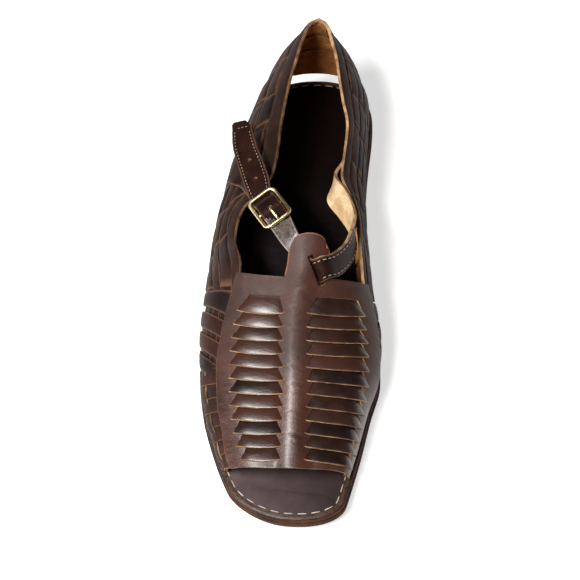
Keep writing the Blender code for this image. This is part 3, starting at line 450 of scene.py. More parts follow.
def grainLeather(name, look):
    f = Finish(name)
    cloud = f.noise(look["cloud"], 4, 0.6)
    patch = f.noise(look["cloud"] * 4.5, 3, 0.6)
    tone = f.mark("tone")
    wear = f.mark("wear")
    mixed = f.band(cloud * 0.55 + patch * 0.25 + tone * 0.4 - 0.1, 0.30, 0.72)
    colour = f.blendColour(mixed, look["dark"], look["light"])
    streak = f.noise(60, 5, 0.65, f.stretch((1.0, 0.22, 1.0)))
    colour = f.blendColour(f.band(streak, 0.60, 0.78) * look["streak"], colour, look["rubbed"])
    rub = f.band(wear + patch * 0.5 - 0.25, 0.35, 1.0) * look["rub"]
    colour = f.blendColour(rub, colour, look["rubbed"])
    speck = f.band(f.cells(900), 0.0, 0.30)
    spots = (1 - speck) * f.band(f.noise(160, 3, 0.6), 0.55, 0.75) * look["speck"]
    colour = f.blendColour(spots, colour, look["rubbed"])
    pores = f.cells(look["grain"]) * 0.6 + f.noise(look["grain"] * 0.5, 4, 0.6) * 0.5
    crease = f.noise(70, 4, 0.62, f.stretch((0.55, 1.6, 1.0)))
    wrinkle = f.noise(230, 4, 0.6, f.stretch((0.7, 1.3, 1.0)))
    height = pores * 0.13 + crease * 0.6 + wrinkle * 0.32 + cloud * 0.4
    shine = look["shine"] + (f.noise(95, 4, 0.65) - 0.5) * look["shineVary"] + (1 - speck) * 0.05
    coat = look["coat"]
    if "dullAndPaintedShade" in look:
        # rougher round the throat and the tab, with painted shade there: the colour is darkened a quarter of the
        # way to the dark tone and the coat is mostly taken off
        throatDullShade = f.band(f.axis("Y"), look["dullAndPaintedShade"][0], look["dullAndPaintedShade"][1])
        shine = shine + throatDullShade * 0.20
        colour = f.blendColour(throatDullShade * 0.25, colour, look["dark"])
        coat = (1 - throatDullShade * 0.85) * coat
    if "paintedShadeBehindToe" in look:
        # painted shade: behind the open toe the insole is darker and duller, near black, and the inner side is
        # painted darker throughout, away from the light from the left
        inner = f.band(f.axis("X"), -0.030, 0.030)
        unshadedToe = f.band(f.axis("Y") * -1, -look["paintedShadeBehindToe"][0], -look["paintedShadeBehindToe"][1]) * (0.9 - inner * 0.55)
        colour = f.blendColour(1 - unshadedToe, colour, (0.0030, 0.0008, 0.0008, 1))
        coat = unshadedToe * coat
    return f.finish(Base_Color=colour, Roughness=shine, Specular_IOR_Level=look["gloss"], Coat_Weight=coat,
                    Coat_Roughness=look.get("coatRough", 0.22), Normal=f.bump(height, look["relief"]))


def fleshLeather(name, look):
    f = Finish(name)
    cloud = f.noise(look["cloud"], 4, 0.65)
    nap = f.noise(1500, 3, 0.7)
    fibre = f.noise(420, 4, 0.7, f.stretch((1.0, 0.35, 1.0)))
    colour = f.blendColour(f.band(cloud, 0.34, 0.70), look["dark"], look["light"])
    colour = f.blendColour(f.band(fibre, 0.45, 0.80) * 0.35, colour, look["dark"])
    grime = f.band(f.noise(26, 3, 0.6), 0.52, 0.75) * look["grime"]
    colour = f.blendColour(grime, colour, look["stain"])
    return f.finish(Base_Color=colour, Roughness=0.86, Specular_IOR_Level=0.25,
                    Normal=f.bump(nap * 0.5 + fibre * 0.6, 0.00022, 0.8))


vampGrain = grainLeather("vamp leather", {
    "dark": (0.024, 0.0072, 0.0042, 1), "light": (0.080, 0.022, 0.0105, 1), "rubbed": (0.36, 0.15, 0.065, 1),
    # round the throat and the tab the colour is darkened as painted shade, and the finish is rougher
    "dullAndPaintedShade": (-0.202, -0.172),
    "cloud": 24, "grain": 1500, "shine": 0.37, "shineVary": 0.26, "coat": 0.22, "relief": 0.00085,
    "streak": 0.14, "rub": 0.75, "speck": 0.45, "gloss": 0.40})
barGrain = grainLeather("bar leather", {
    "dark": (0.0085, 0.0032, 0.0024, 1), "light": (0.050, 0.0180, 0.0115, 1), "rubbed": (0.30, 0.15, 0.075, 1),
    "cloud": 34, "grain": 1500, "shine": 0.36, "shineVary": 0.24, "coat": 0.42, "relief": 0.0006,
    "streak": 0.16, "rub": 0.30, "speck": 0.35, "gloss": 0.34})
weaveGrain = grainLeather("weave leather", {
    "dark": (0.0070, 0.0028, 0.0022, 1), "light": (0.038, 0.0125, 0.0075, 1), "rubbed": (0.24, 0.12, 0.065, 1),
    "cloud": 36, "grain": 1500, "shine": 0.58, "shineVary": 0.20, "coat": 0.0, "relief": 0.0005,
    "streak": 0.18, "rub": 0.35, "speck": 0.30, "gloss": 0.14})
strapGrain = grainLeather("strap leather", {
    "dark": (0.008, 0.003, 0.0024, 1), "light": (0.034, 0.011, 0.0072, 1), "rubbed": (0.27, 0.15, 0.09, 1),
    "cloud": 40, "grain": 1600, "shine": 0.46, "shineVary": 0.22, "coat": 0.0, "relief": 0.0005,
    "streak": 0.16, "rub": 0.30, "speck": 0.30, "gloss": 0.08})
rawEdge = fleshLeather("raw edge", {
    "dark": (0.16, 0.075, 0.032, 1), "light": (0.56, 0.36, 0.19, 1), "stain": (0.060, 0.026, 0.014, 1),
    "cloud": 130, "grime": 0.75})
dyedEdge = fleshLeather("dyed edge", {
    "dark": (0.060, 0.028, 0.016, 1), "light": (0.21, 0.125, 0.075, 1), "stain": (0.026, 0.012, 0.008, 1),
    "cloud": 110, "grime": 0.8})
tanFlesh = fleshLeather("flesh side", {
    "dark": (0.28, 0.105, 0.026, 1), "light": (0.62, 0.27, 0.075, 1), "stain": (0.10, 0.036, 0.014, 1),
    "cloud": 45, "grime": 0.45})
creamFlesh = fleshLeather("strap flesh side", {
    "dark": (0.52, 0.33, 0.16, 1), "light": (0.82, 0.64, 0.40, 1), "stain": (0.30, 0.16, 0.07, 1),
    "cloud": 90, "grime": 0.35})
soleTan = fleshLeather("sole edge", {
    "dark": (0.022, 0.009, 0.006, 1), "light": (0.095, 0.034, 0.013, 1), "stain": (0.012, 0.006, 0.005, 1),
    "cloud": 40, "grime": 0.9})
scuffed = grainLeather("scuffed strap leather", {
    "dark": (0.020, 0.012, 0.010, 1), "light": (0.22, 0.18, 0.165, 1), "rubbed": (0.50, 0.44, 0.40, 1),
    "cloud": 330, "grain": 1300, "shine": 0.34, "shineVary": 0.30, "coat": 0.25, "relief": 0.0016,
    "streak": 0.5, "rub": 0.5, "speck": 0.6, "gloss": 0.45})
marginGrain = grainLeather("worn insole margin", {
    "dark": (0.0060, 0.0030, 0.0026, 1), "light": (0.055, 0.026, 0.017, 1), "rubbed": (0.30, 0.17, 0.10, 1),
    "cloud": 130, "grain": 1300, "shine": 0.42, "shineVary": 0.30, "coat": 0.1, "relief": 0.0010,
    "streak": 0.4, "rub": 0.45, "speck": 0.6, "gloss": 0.35})
# the light tones carry part of the toe's sheen as painted sheen; behind the toe the colour fades to painted shade
insoleGrain = grainLeather("insole leather", {
    "dark": (0.050, 0.034, 0.033, 1), "light": (0.125, 0.090, 0.090, 1), "rubbed": (0.22, 0.10, 0.06, 1),
    "cloud": 18, "grain": 1300, "shine": 0.44, "shineVary": 0.16, "coat": 0.4, "relief": 0.0004,
    "streak": 0.10, "rub": 0.5, "speck": 0.35, "gloss": 0.16, "coatRough": 0.40, "paintedShadeBehindToe": (-0.175, -0.215)})
print("leathers made")

# Sole
sole = {"heelSpread": 0.0009, "outsoleEdge": 0.0006, "insoleInset": 0.0006, "heelTaper": 0.0015,
        "heelHollow": 0.005, "worn": 0.55, "wornInset": 0.005, "stitchInset": 0.0047,
        "stitch": (0.0056, 0.0076, 0.00030),  # length, pitch, thread radius
        "toeStitches": 0.868, "heelStitches": 0.06}


def outlineLoop(shares, inset):
    loop = [(soleX(s, -1), rowY(s), s) for s in shares]
    loop += [(soleX(s, 1), rowY(s), s) for s in shares[-2:0:-1]]
    loop = np.array(loop)
    tangent = unit(np.roll(loop[:, :2], -1, axis=0) - np.roll(loop[:, :2], 1, axis=0))
    inset = inset - sole["heelSpread"] * (1 - ease(loop[:, 2], 0.01, 0.10))
    x, y, share = loop.T
    return np.stack([x - tangent[:, 1] * inset, y + tangent[:, 0] * inset, share], axis=1)


def endSpaced(count, start=0.0, end=1.0):
    return start + (end - start) * (1 - np.cos(math.pi * np.arange(count + 1) / count)) / 2


def soleSlab(name, node, shares, profile, looks):
    # profile: rings from the bottom up, each a height over the outsole's underside, an inset and a finish
    made = Sheets()
    rings = []
    for height, inset, slot in profile:
        loop = outlineLoop(shares, inset)
        worn = sole["worn"] if height == insoleHigh and inset < sole["wornInset"] else 0.0
        rings.append([made.spot((x, y, groundZ(s) + height), 0.5, worn, len(rings)) for x, y, s in loop])
    count = len(rings[0])
    for low, high, (_, _, slot) in zip(rings, rings[1:], profile[1:]):
        made.joinRings(low, high, slot)
    half = count // 2
    for ring, slot, turn in ((rings[0], profile[0][2], -1), (rings[-1], profile[-1][2], 1)):
        for k in range(half):
            corners = [ring[k], ring[k + 1], ring[(count - k - 1) % count], ring[(count - k) % count]]
            seen = [c for n, c in enumerate(corners) if c not in corners[:n]]
            made.face(seen[::turn], slot)
    carry(made.piece(name, looks), node)


soleShares = endSpaced(150)
edge, inset = sole["outsoleEdge"], sole["insoleInset"]
outsoleTop = shoe["outsole"]
insoleLow, insoleHigh = outsoleTop + shoe["gap"], outsoleTop + shoe["gap"] + shoe["insole"]
soleSlab("outsoleLayer", "outsole", soleShares, [
    (0.0, edge * 1.4, 0), (edge * 0.5, edge * 0.35, 0), (edge * 1.5, 0.0, 1), (outsoleTop - 0.0019, 0.0, 1),
    (outsoleTop - 0.0016, 0.0003, 1), (outsoleTop - 0.0013, 0.0, 1), (outsoleTop - edge, 0.0, 1),
    (outsoleTop, edge * 0.8, 1),
], [soleTan, soleTan])
soleSlab("insoleLayer", "insole", soleShares, [
    (insoleLow, inset + 0.0004, 1), (insoleLow + 0.0006, inset, 1), (insoleHigh - 0.0012, inset, 1),
    (insoleHigh - 0.0004, inset + 0.0003, 1), (insoleHigh, inset + 0.0011, 2), (insoleHigh, 0.0030, 2),
    (insoleHigh, 0.0041, 2), (insoleHigh, 0.0062, 0), (insoleHigh, 0.012, 0),
], [insoleGrain, soleTan, marginGrain])


def heelLift():
    made = Sheets()
    breast = shoe["heelLength"] / shoe["length"]
    shares = breast * (1 - np.cos(math.pi / 2 * np.arange(37) / 36))
    full = shoe["heelHeight"] - shoe["gap"]
    levels = [(0.0, 0.0009), (0.0005, 0.0001), (0.0042, 0.0), (0.0045, 0.0004), (0.0048, 0.0),
              (full - 0.0004, 0.0), (full, 0.0004)]  # height and groove
    rings = []
    for z, groove in levels:
        taper = sole["heelTaper"] * (1 - z / full) + groove
        shrink = 1 - taper * 2 / (shoe["ball"] * 0.7)
        sides = [[(soleX(s, side) * shrink, rowY(s) - taper * (1 - s / breast), z) for s in shares]
                 for side in (-1, 1)]
        front = []
        for across in np.arange(1, 16) / 16:
            x = sides[0][-1][0] * (1 - across) + sides[1][-1][0] * across
            hollow = sole["heelHollow"] * (1 - (2 * across - 1) ** 2)
            front.append((x, sides[0][-1][1] + hollow + groove, z))
        ring = sides[0] + front + sides[1][:0:-1]
        rings.append([made.spot(p, 0.5, 0.0, len(rings)) for p in ring])
    for low, high in zip(rings, rings[1:]):
        made.joinRings(low, high)
    made.face(rings[0][::-1])
    made.face(rings[-1])
    carry(made.piece("heelLiftLayers", [soleTan]), "heel")


heelLift()


def stitches(made, line, normals, length, pitch, radius):
    # evenly pitched stitches on a path; each end dives into the leather
    line, normals = np.asarray(line), np.asarray(normals)
    along = lengthsAlong(line)
    at = pitch * 0.3
    dive = radius * 1.6
    while at + length < along[-1]:
        spots = []
        for k in range(7):
            where = at + length * k / 6
            place = np.array([np.interp(where, along, line[:, c]) for c in range(3)])
            out = unit(np.array([np.interp(where, along, normals[:, c]) for c in range(3)]))
            lift = radius * 0.55 - dive * (2 * k / 6 - 1) ** 4
            spots.append(place + out * lift)
        made.tube(spots, [radius * w for w in (0.55, 0.9, 1, 1, 1, 0.9, 0.55)], 7)
        at += pitch


def soleStitches():
    made = Sheets()
    loop = [tuple(p) for p in outlineLoop(endSpaced(400), sole["stitchInset"])]
    half = len(loop) // 2
    toe = [p for p in loop if p[2] >= sole["toeStitches"]]
    heel = [p for p in loop[half:] + loop[:half] if p[2] <= sole["heelStitches"]]
    for part in (toe, heel):
        line = [(x, y, insoleTop(s)) for x, y, s in part]
        stitches(made, line, [(0, 0, 1)] * len(line), *sole["stitch"])
    carry(made.piece("soleStitches", [thread]), "insole")


def threadFinish():
    f = Finish("waxed thread")
    twist = f.node("ShaderNodeTexWave", {"wave_type": "BANDS", "bands_direction": "DIAGONAL"},
                   {"Vector": f.place, "Scale": 620, "Distortion": 2.0, "Detail": 2})
    colour = f.blendColour(f.band(f.noise(60, 3), 0.4, 0.7), (0.44, 0.38, 0.31, 1), (0.72, 0.67, 0.58, 1))
    colour = f.blendColour(f.band(twist, 0.2, 0.9) * 0.35, colour, (0.40, 0.30, 0.18, 1))
    return f.finish(Base_Color=colour, Roughness=0.62, Normal=f.bump(twist, 0.00012, 0.7))


thread = threadFinish()
soleStitches()
print("sole made")

# Vamp: one raised panel with two ladders cut in it, bars shingled under its teeth
vamp = {
    "throat": 0.580, "ladderStart": 0.612, "ladderEnd": 0.897, "front": 0.914, "bars": 12,
    "bowBack": 0.0062, "bowFront": 0.0010, "bowEdge": 0.0022, "bowReach": 0.040,
    "spine": 0.0066, "tuck": 0.0034, "toothTuck": 0.0048, "panelUp": 0.0022, "panelThick": 0.0013,
    "spineUp": 0.0044, "barUp": 0.0035, "barLow": 0.0009, "barThick": 0.0012, "barSmile": 0.0014,
    "barTuck": 0.0022, "barGap": 0.0003, "rowLength": 0.0068, "creaseFrom": 0.0018, "creaseShare": 0.6,
    "tabEnd": 0.511, "tabCorner": 0.0060, "lobe": 0.22, "smallLobe": 0.06, "flapFrom": 0.738,
    "marginOuter": 0.0070, "marginInner": 0.0012, "liningUp": 0.0001, "liningThick": 0.0008,
}


def ladderRows():
    rows = [vamp["throat"], vamp["ladderStart"]]
    first = vamp["ladderStart"] + (vamp["ladderEnd"] - vamp["ladderStart"]) / (vamp["bars"] + 0.1) * 1.1
    rows += [first + (vamp["ladderEnd"] - first) * k / (vamp["bars"] - 1) for k in range(vamp["bars"])]
    rows.append(vamp["front"])
    ahead = [(share - vamp["throat"]) / (vamp["ladderEnd"] - vamp["throat"]) for share in rows]
    bows = [vamp["bowBack"] + (vamp["bowFront"] - vamp["bowBack"]) * min(t, 1.0) for t in ahead[:-1]]
    return list(zip(rows, bows + [vamp["bowEdge"]]))


rows = ladderRows()


def rowAt(r):
    # share and bow of a row, also between two rows
    k = min(int(r), len(rows) - 2)
    t = r - k
    return rows[k][0] * (1 - t) + rows[k + 1][0] * t, rows[k][1] * (1 - t) + rows[k + 1][1] * t


creases = [
    (0.25, 0.0050, 0.0012, 0.0055, 0.00045, 0.5), (0.62, -0.0040, 0.0011, 0.0060, 0.00035, -0.3),
    (1.05, 0.0060, 0.0012, 0.0050, 0.00050, 0.6), (1.55, -0.0010, 0.0010, 0.0050, 0.00030, 0.2),
    (2.35, 0.0015, 0.0010, 0.0045, 0.00028, -0.3), (3.10, -0.0020, 0.0009, 0.0042, 0.00026, 0.3),
    (4.40, 0.0010, 0.0010, 0.0050, 0.00024, -0.2), (5.85, -0.0015, 0.0010, 0.0045, 0.00022, 0.4),
    (7.30, 0.0015, 0.0010, 0.0045, 0.00020, 0.2), (9.20, -0.0010, 0.0011, 0.0050, 0.00022, -0.3),
    (11.1, 0.0010, 0.0011, 0.0048, 0.00022, 0.2),
    (3.60, -0.0340, 0.0013, 0.0050, 0.00040, 0.8), (6.60, -0.0390, 0.0013, 0.0050, 0.00038, 0.7),
    (8.70, -0.0390, 0.0012, 0.0050, 0.00036, 0.6), (10.6, -0.0360, 0.0013, 0.0050, 0.00040, 0.5),
    (0.50, -0.0250, 0.0012, 0.0090, 0.00035, 0.3), (0.45, 0.0280, 0.0012, 0.0090, 0.00035, -0.3),
]  # creases listed one by one: row, across, half width, half length, depth, lean


def creaseDepth(r, across):
    depth = 0.0
    for row, middle, wide, long, deep, lean in creases:
        over = across - middle
        off = (r - row) * vamp["rowLength"] - lean * over
        if abs(off) < 4 * wide and abs(over) < 2.5 * long:
            pair = math.exp(-(off / wide) ** 2) - 0.6 * math.exp(-((off - 1.9 * wide) / wide) ** 2)
            depth += vamp["creaseShare"] * deep * pair * math.exp(-(over / long) ** 2)
    return depth


def rowPlace(r, across, height, slide=0.0):
    # a point of the vamp on row r, this far over the section, this high over the surface
    share, bow = rowAt(r)
    if height > vamp["creaseFrom"]:
        height = height - creaseDepth(r, across)
    share = share - bow * (across / vamp["bowReach"]) ** 2 / shoe["length"] + slide / shoe["length"]
    return surfaceAt(share, across, height)


def surfaceAt(share, across, height):
    normal = vampNormal(share, across)
    if normal[2] < 0:
        normal = unit(np.array([normal[0], normal[1], 0.0]))
    return vampPoint(share, across) + normal * height


def reach(r, side, what):
    # how far over the section the foot, the panel's edge, a bar's end or its tucked tip lies
    share, bow = rowAt(r)
    across = 0.0
    for _ in range(4):
        at = share - bow * (across / vamp["bowReach"]) ** 2 / shoe["length"]
        end = abs(sectionEnd(at, side))
        ends = abs(barEnd[side](at)) * shoe["ball"]
        margin = vamp["marginOuter" if side < 0 else "marginInner"]
        edge = min(abs(vampEdge[side](at)) * shoe["ball"], end - margin)
        across = {"foot": end, "edge": edge, "tooth": ends, "tip": ends - vamp["toothTuck"]}[what]
    return side * across


def panelHeight(across):
    # the panel lies flat on its margins and swells over the ridge
    t = min(abs(across) / (vamp["spine"] + vamp["tuck"]), 1.0)
    return vamp["panelUp"] + (vamp["spineUp"] - vamp["panelUp"]) * (1 - t * t) ** 1.5


spineColumns = [vamp["spine"] + vamp["tuck"], vamp["spine"] + vamp["tuck"] * 0.5, vamp["spine"]]
spineColumns += [vamp["spine"] * t for t in (0.75, 0.5, 0.25)]


marginShares = (0, 0.04, 0.2, 0.4, 0.6, 0.8, 1)
toothShares = (0, 0.3, 0.6, 0.93, 1)
ribShares = (0, 0.08, 0.5, 1)


def topPanel():
    made = Sheets()
    steps = 9
    last = len(rows) - 1

    def laid(at, start, end, shares):
        return [rowPlace(at, a, panelHeight(a)) for a in (lerp(start, end, t) for t in shares)]

    def strip(lines, tone, side, worn=-1):
        # worn: the column of points on a cut edge
        made.grid(lines, tone, lambda i, k: float(k == worn), flip=side < 0)

    for r in range(last):
        ladder = 1 <= r <= vamp["bars"]
        for side in (-1, 1):
            spineSide = [side * a for a in spineColumns] + [0.0]
            for j in range(steps):
                parts = {"margin": [], "tooth": [], "mid": [], "spine": []}
                for at in (r + j / steps, r + (j + 1) / steps):
                    v = at - r
                    tooth = reach(at, side, "tooth") if v < 1 else reach(r + 1, side, "tooth")
                    parts["margin"].append(laid(at, reach(at, side, "edge"), tooth, marginShares))
                    if ladder:
                        tip = lerp(reach(r, side, "tip"), reach(r + 1, side, "tooth"), v)
                        rib = lerp(spineColumns[0], spineColumns[2], v) * side
                        parts["mid"].append(laid(at, rib, spineColumns[2] * side, ribShares))
                    else:
                        tip = reach(at, side, "tip")
                        parts["mid"].append(laid(at, tip, spineColumns[0] * side, np.linspace(0, 1, 9)))
                    parts["tooth"].append(laid(at, tooth, tip, toothShares))
                    spine = spineSide[2:] if ladder else spineSide
                    parts["spine"].append([rowPlace(at, a, panelHeight(a)) for a in spine])
                strip(parts["margin"], 0.5, side, 0)
                strip(parts["tooth"], 0.5, side, 4 if ladder else -1)
                strip(parts["mid"], 0.5, side, 0 if ladder else -1)
                strip(parts["spine"], 0.55, side)
    # tab behind the throat
    steps = 14
    across = [-a for a in spineColumns] + [0.0] + spineColumns[::-1]
    tab = []
    for k in range(steps + 1):
        t = k / steps
        share = lerp(vamp["tabEnd"], vamp["throat"], t)
        line = []
        for a in across:
            part = abs(a) / spineColumns[0]
            lobe = vamp["lobe" if a > 0 else "smallLobe"]
            a = a * (1 + lobe * math.sin(math.pi * min(t * 1.5, 1.0)) * part)
            back = vamp["tabCorner"] * (1 - (1 - min(part, 1.0) ** 2.2) ** (1 / 2.2)) * (1 - t) ** 3
            flat = 0.0017 + 0.0006 * (1 - part ** 2)
            lift = lerp(flat, panelHeight(a), ease(share, vamp["tabEnd"] + 0.012, vamp["throat"]))
            if k == steps:
                line.append(rowPlace(0, a, panelHeight(a)))
            else:
                line.append(surfaceAt(share + back / shoe["length"], a, lift))
        tab.append(line)
    made.grid(tab, 0.6, lambda i, j: 1.0 if j in (0, len(across) - 1) or i == 0 else 0.0, flip=True)
    return thicken(made.piece("vampPanel", [vampGrain, rawEdge, tanFlesh]), vamp["panelThick"], 0)


def faceOut(piece):
    # a closed mesh with all its faces outward
    work = bmesh.new()
    work.from_mesh(piece.data)
    bmesh.ops.recalc_face_normals(work, faces=work.faces)
    if work.calc_volume(signed=True) < 0:
        bmesh.ops.reverse_faces(work, faces=work.faces)
    work.to_mesh(piece.data)
    work.free()
    return piece


def cutAway(piece, cutters):
    # cuts are applied, so that no cutter is left in the scene
    for cutter in cutters:
        cut = piece.modifiers.new("cut", "BOOLEAN")
        cut.object = faceOut(cutter)
        cut.operation = "DIFFERENCE"
        cut.solver = "EXACT"
        if hasattr(cut, "material_mode"):
            cut.material_mode = "INDEX"
    seen = bpy.context.evaluated_depsgraph_get()
    cutPiece = piece.evaluated_get(seen)
    mesh = bpy.data.meshes.new_from_object(cutPiece, preserve_all_data_layers=True, depsgraph=seen)
    piece.modifiers.clear()
    old = piece.data
    piece.data = mesh
    bpy.data.meshes.remove(old)
    for cutter in cutters:
        bpy.data.objects.remove(cutter)
    return piece


def block(name, centre, axes, sizes):
    made = Sheets()
    corners = []
    for k in range(8):
        signs = [(k >> n & 1) - 0.5 for n in range(3)]
        offset = sum(np.array(a) * s * w for a, s, w in zip(axes, signs, sizes))
        corners.append(made.spot(centre + offset, key=k))
    for quad in ((0, 2, 3, 1), (4, 5, 7, 6), (0, 1, 5, 4), (2, 6, 7, 3), (0, 4, 6, 2), (1, 3, 7, 5)):
        ordered = [corners[c] for c in quad]
        made.face(ordered if np.linalg.det(np.array(axes)) > 0 else ordered[::-1], 1)
    return made.piece(name, [vampGrain, rawEdge, tanFlesh], smooth=False)


slit = {"from": (0.550, 0.0022), "to": (0.586, 0.0108), "gap": 0.0032}
panel = topPanel()
start, end = vampPoint(*slit["from"]), vampPoint(*slit["to"])
middle = ((slit["from"][0] + slit["to"][0]) / 2, (slit["from"][1] + slit["to"][1]) / 2)
lineDir = unit(end - start)
outDir = vampNormal(*middle)
outDir = unit(outDir - lineDir * outDir.dot(lineDir))
slitCutter = block("slitCutter", (start + end + vampPoint(*middle)) / 3,
                   (lineDir, np.cross(lineDir, outDir), outDir),
                   (np.linalg.norm(end - start) + 0.0030, slit["gap"], 0.016))
cutAway(panel, [slitCutter])
carry(edgeRound(panel, 0.00028), "upper")


def ladderBars():
    made = Sheets()
    rng = np.random.default_rng(4)
    for side in (-1, 1):
        for b in range(1, vamp["bars"] + 1):
            tone = 0.5 + rng.uniform(-0.45, 0.45)
            lift = rng.uniform(-0.00012, 0.00018)
            lines = []
            for v in (-0.30, -0.1, 0.06, 0.2, 0.35, 0.5, 0.65, 0.8, 0.92, 1.0):
                t = max(v, 0.0)
                tuck = side * (vamp["barTuck"] * (1 - t) + vamp["barGap"])
                outer = lerp(reach(b, side, "tip"), reach(b + 1, side, "tooth"), t) + tuck
                inner = lerp(side * spineColumns[0], side * spineColumns[2], t) - tuck
                middle = lerp(vamp["barLow"], vamp["barUp"] + lift, math.sin(math.pi / 2 * t) ** 0.9)
                ends = 0.0007 + (vamp["barUp"] - 0.0009) * t ** 1.7
                line = []
                for k in range(19):
                    u = k / 18
                    u = u - 0.045 * math.sin(2 * math.pi * u)
                    bend = abs(2 * u - 1)
                    height = lerp(middle, ends, bend ** 5)
                    slide = (vamp["barSmile"] * (1 - bend ** 2) + 0.0004) * t ** 2
                    line.append(rowPlace(b + v, lerp(outer, inner, u), height, slide))
                lines.append(line)
            made.grid(lines, tone, lambda i, j: {9: 1.0, 8: 0.4}.get(i, 0.0), 0, (side, b), side < 0)
    carryUpper(made, "ladderBars", [barGrain, rawEdge, rawEdge], vamp["barThick"], 0.00022)


ladderBars()


def vampLining():
    made = Sheets()
    lines = []
    for k in range(57):
        r = (len(rows) - 1) * k / 56
        ends = [reach(r, side, "foot") if rowAt(r)[0] > vamp["flapFrom"] else reach(r, side, "edge") * 0.97
                for side in (-1, 1)]
        cols = [lerp(ends[0], ends[1], j / 36) for j in range(37)]
        lines.append([rowPlace(r, a, vamp["liningUp"], -0.0006 * k / 56) for a in cols])
    made.grid(lines, 0.3, flip=True)
    carryUpper(made, "vampLining", [barGrain, rawEdge, tanFlesh], vamp["liningThick"], 0)


vampLining()


def sideFlaps():
    # below the panel's margins the vamp runs down to the sole; short strips are laced through it
    made = Sheets()
    first = next(k for k in range(1400) if rowAt(k / 100)[0] > vamp["flapFrom"]) / 100
    for side in (-1, 1):
        lines = []
        for k in range(41):
            r = lerp(first, len(rows) - 1, k / 40)
            foot, margin = reach(r, side, "foot"), reach(r, side, "edge")
            slide = -0.0012 * ease(r, 12.0, 13.0)
            lines.append([rowPlace(r, lerp(foot, margin - side * 0.004, j / 8), 0.0012, slide) for j in range(9)])
        made.grid(lines, 0.45, None, 0, side, side < 0)
    carryUpper(made, "sideFlaps", [weaveGrain, rawEdge, tanFlesh], 0.0012, 0.0002)
    laces = Sheets()
    rng = np.random.default_rng(9)
    for side in (-1, 1):
        start, stop = first + 0.35, 12.75
        count = int(round(stop - start))
        for n in range(count):
            mid = start + 0.5 + n
            over = n % 2 == 0
            tone = rng.uniform(0.1, 0.9)
            lines = []
            for j in range(11):
                t = j / 10
                across = lerp(reach(mid, side, "foot") - side * 0.0004, reach(mid, side, "edge") - side * 0.003, t)
                if over:
                    height = 0.0013 + 0.0009 * (0.5 + 0.5 * math.cos(2 * math.pi * (t - 0.5)))
                else:
                    height = 0.0022 - 0.0010 * math.exp(-((t - 0.5) / 0.18) ** 2)
                height = lerp(height, 0.0009, ease(t, 0.86, 1.0))
                lines.append([rowPlace(mid + w * 0.34, across, height - abs(w) ** 4 * 0.0002)
                              for w in (-1, -0.5, 0, 0.5, 1)])
            laces.grid(lines, tone, lambda i, j: 1.0 if j == 4 else 0.3 * (j == 0), 0, (side, n), side > 0)
        lines = []
        for k in range(101):
            r = lerp(start - 0.3, stop + 0.3, k / 100)
            foot, margin = reach(r, side, "foot"), reach(r, side, "edge")
            wave = math.cos(math.pi * (r - start - 0.5))
            height = 0.0017 - 0.0006 * wave
            tucked = max(ease(r, stop - 0.1, stop + 0.3), 1 - ease(r, start - 0.3, start + 0.1))
            height = lerp(height, 0.0008, tucked)
            lines.append([rowPlace(r, lerp(foot, margin, t), height) for t in (0.34, 0.42, 0.5, 0.58, 0.66)])
        laces.grid(lines, 0.4, lambda i, j: 0.8 if j in (0, 4) else 0.0, 0, (side, "long"), side < 0)
    carryUpper(laces, "flapLaces", [weaveGrain, rawEdge, tanFlesh], 0.0011, 0.00018)


sideFlaps()
print("vamp made")

# Basket weave of the sides and the heel
weave = {
    "columns": 10, "strips": 5, "share": 0.70, "wide": 0.90, "rake": 0.10, "lowBand": 0.08, "topBand": 0.12,
    "sweep": 0.3, "frontFrom": 1.03, "frontPitch": 0.074, "frontStrips": 5, "frontWide": 0.74, "lean": 0.085,
    "front": 0.775, "over": 0.0018, "under": 0.0002, "thick": 0.0013, "bandUp": 0.0014, "bandThick": 0.0021,
    "edge": 0.00022,
}
frontAlong = weave["front"] / shoe["throatEnd"]
pitchAlong = frontAlong / (weave["columns"] + weave["share"] / 2)
rowPitch = (1 - weave["lowBand"] - weave["topBand"]) / (weave["strips"] + 1 - weave["share"])
rowMiddles = [weave["lowBand"] + rowPitch * (1 - weave["share"]) + rowPitch * (k + weave["share"] / 2)
              for k in range(weave["strips"])]


def weaveSpot(signed, up, height):
    # signed place along: negative on the outer side, 0 at the heel's middle
    side = -1 if signed < 0 else 1
    along = abs(signed)
    up = max(up, 0.0) ** (1 / (1 + weave["sweep"] * ease(along, 0.84, 1.30)))
    rake = -weave["rake"] * math.sin(math.pi * min(along / frontAlong, 1.0))
    along = along + lerp(rake, weave["lean"], ease(along, 0.90, 1.04)) * (up - 0.5) * 2
    if along < 0:
        side, along = -side, -along
    place, normal = wallPoint(side, along, up), wallNormal(side, along, up)
    if up <= 0.0:
        normal = unit(np.array([normal[0], normal[1], 0.0]))
    sink = max(ease(along, 1.26, 1.34), ease(along, 0.93, 1.0) * ease(up, 0.55, 0.95))
    return place + normal * (height - 0.0013 * sink)


def crossing(column, strip):
    # whether the raked strip lies over the long one; columns count from the heel's middle
    return (column + weave["columns"] + strip + 1) % 2 == 0


def raked():
    # places and half widths of the raked strips; those at the front stand closer and lie over
    columns = range(-weave["columns"], weave["columns"] + 1)
    strips = [(c * pitchAlong, weave["wide"] / 2 * pitchAlong, c) for c in columns
              if abs(c) * pitchAlong < weave["frontFrom"] - 0.09]
    for k in range(weave["frontStrips"]):
        place = weave["frontFrom"] + weave["frontPitch"] * k
        strips += [(side * place, weave["frontWide"] / 2 * weave["frontPitch"], None) for side in (-1, 1)]
    return sorted(strips, key=lambda strip: strip[0])


def wave(position, spots, states):
    # height share between crossings: states 1 over and 0 under at these spots
    for (a, sa), (b, sb) in zip(zip(spots, states), zip(spots[1:], states[1:])):
        if a <= position <= b:
            t = (position - a) / (b - a)
            flat = 0.22
            t = min(max((t - flat) / (1 - 2 * flat), 0.0), 1.0)
            return sa + (sb - sa) * t * t * (3 - 2 * t)
    return states[0] if position < spots[0] else states[-1]


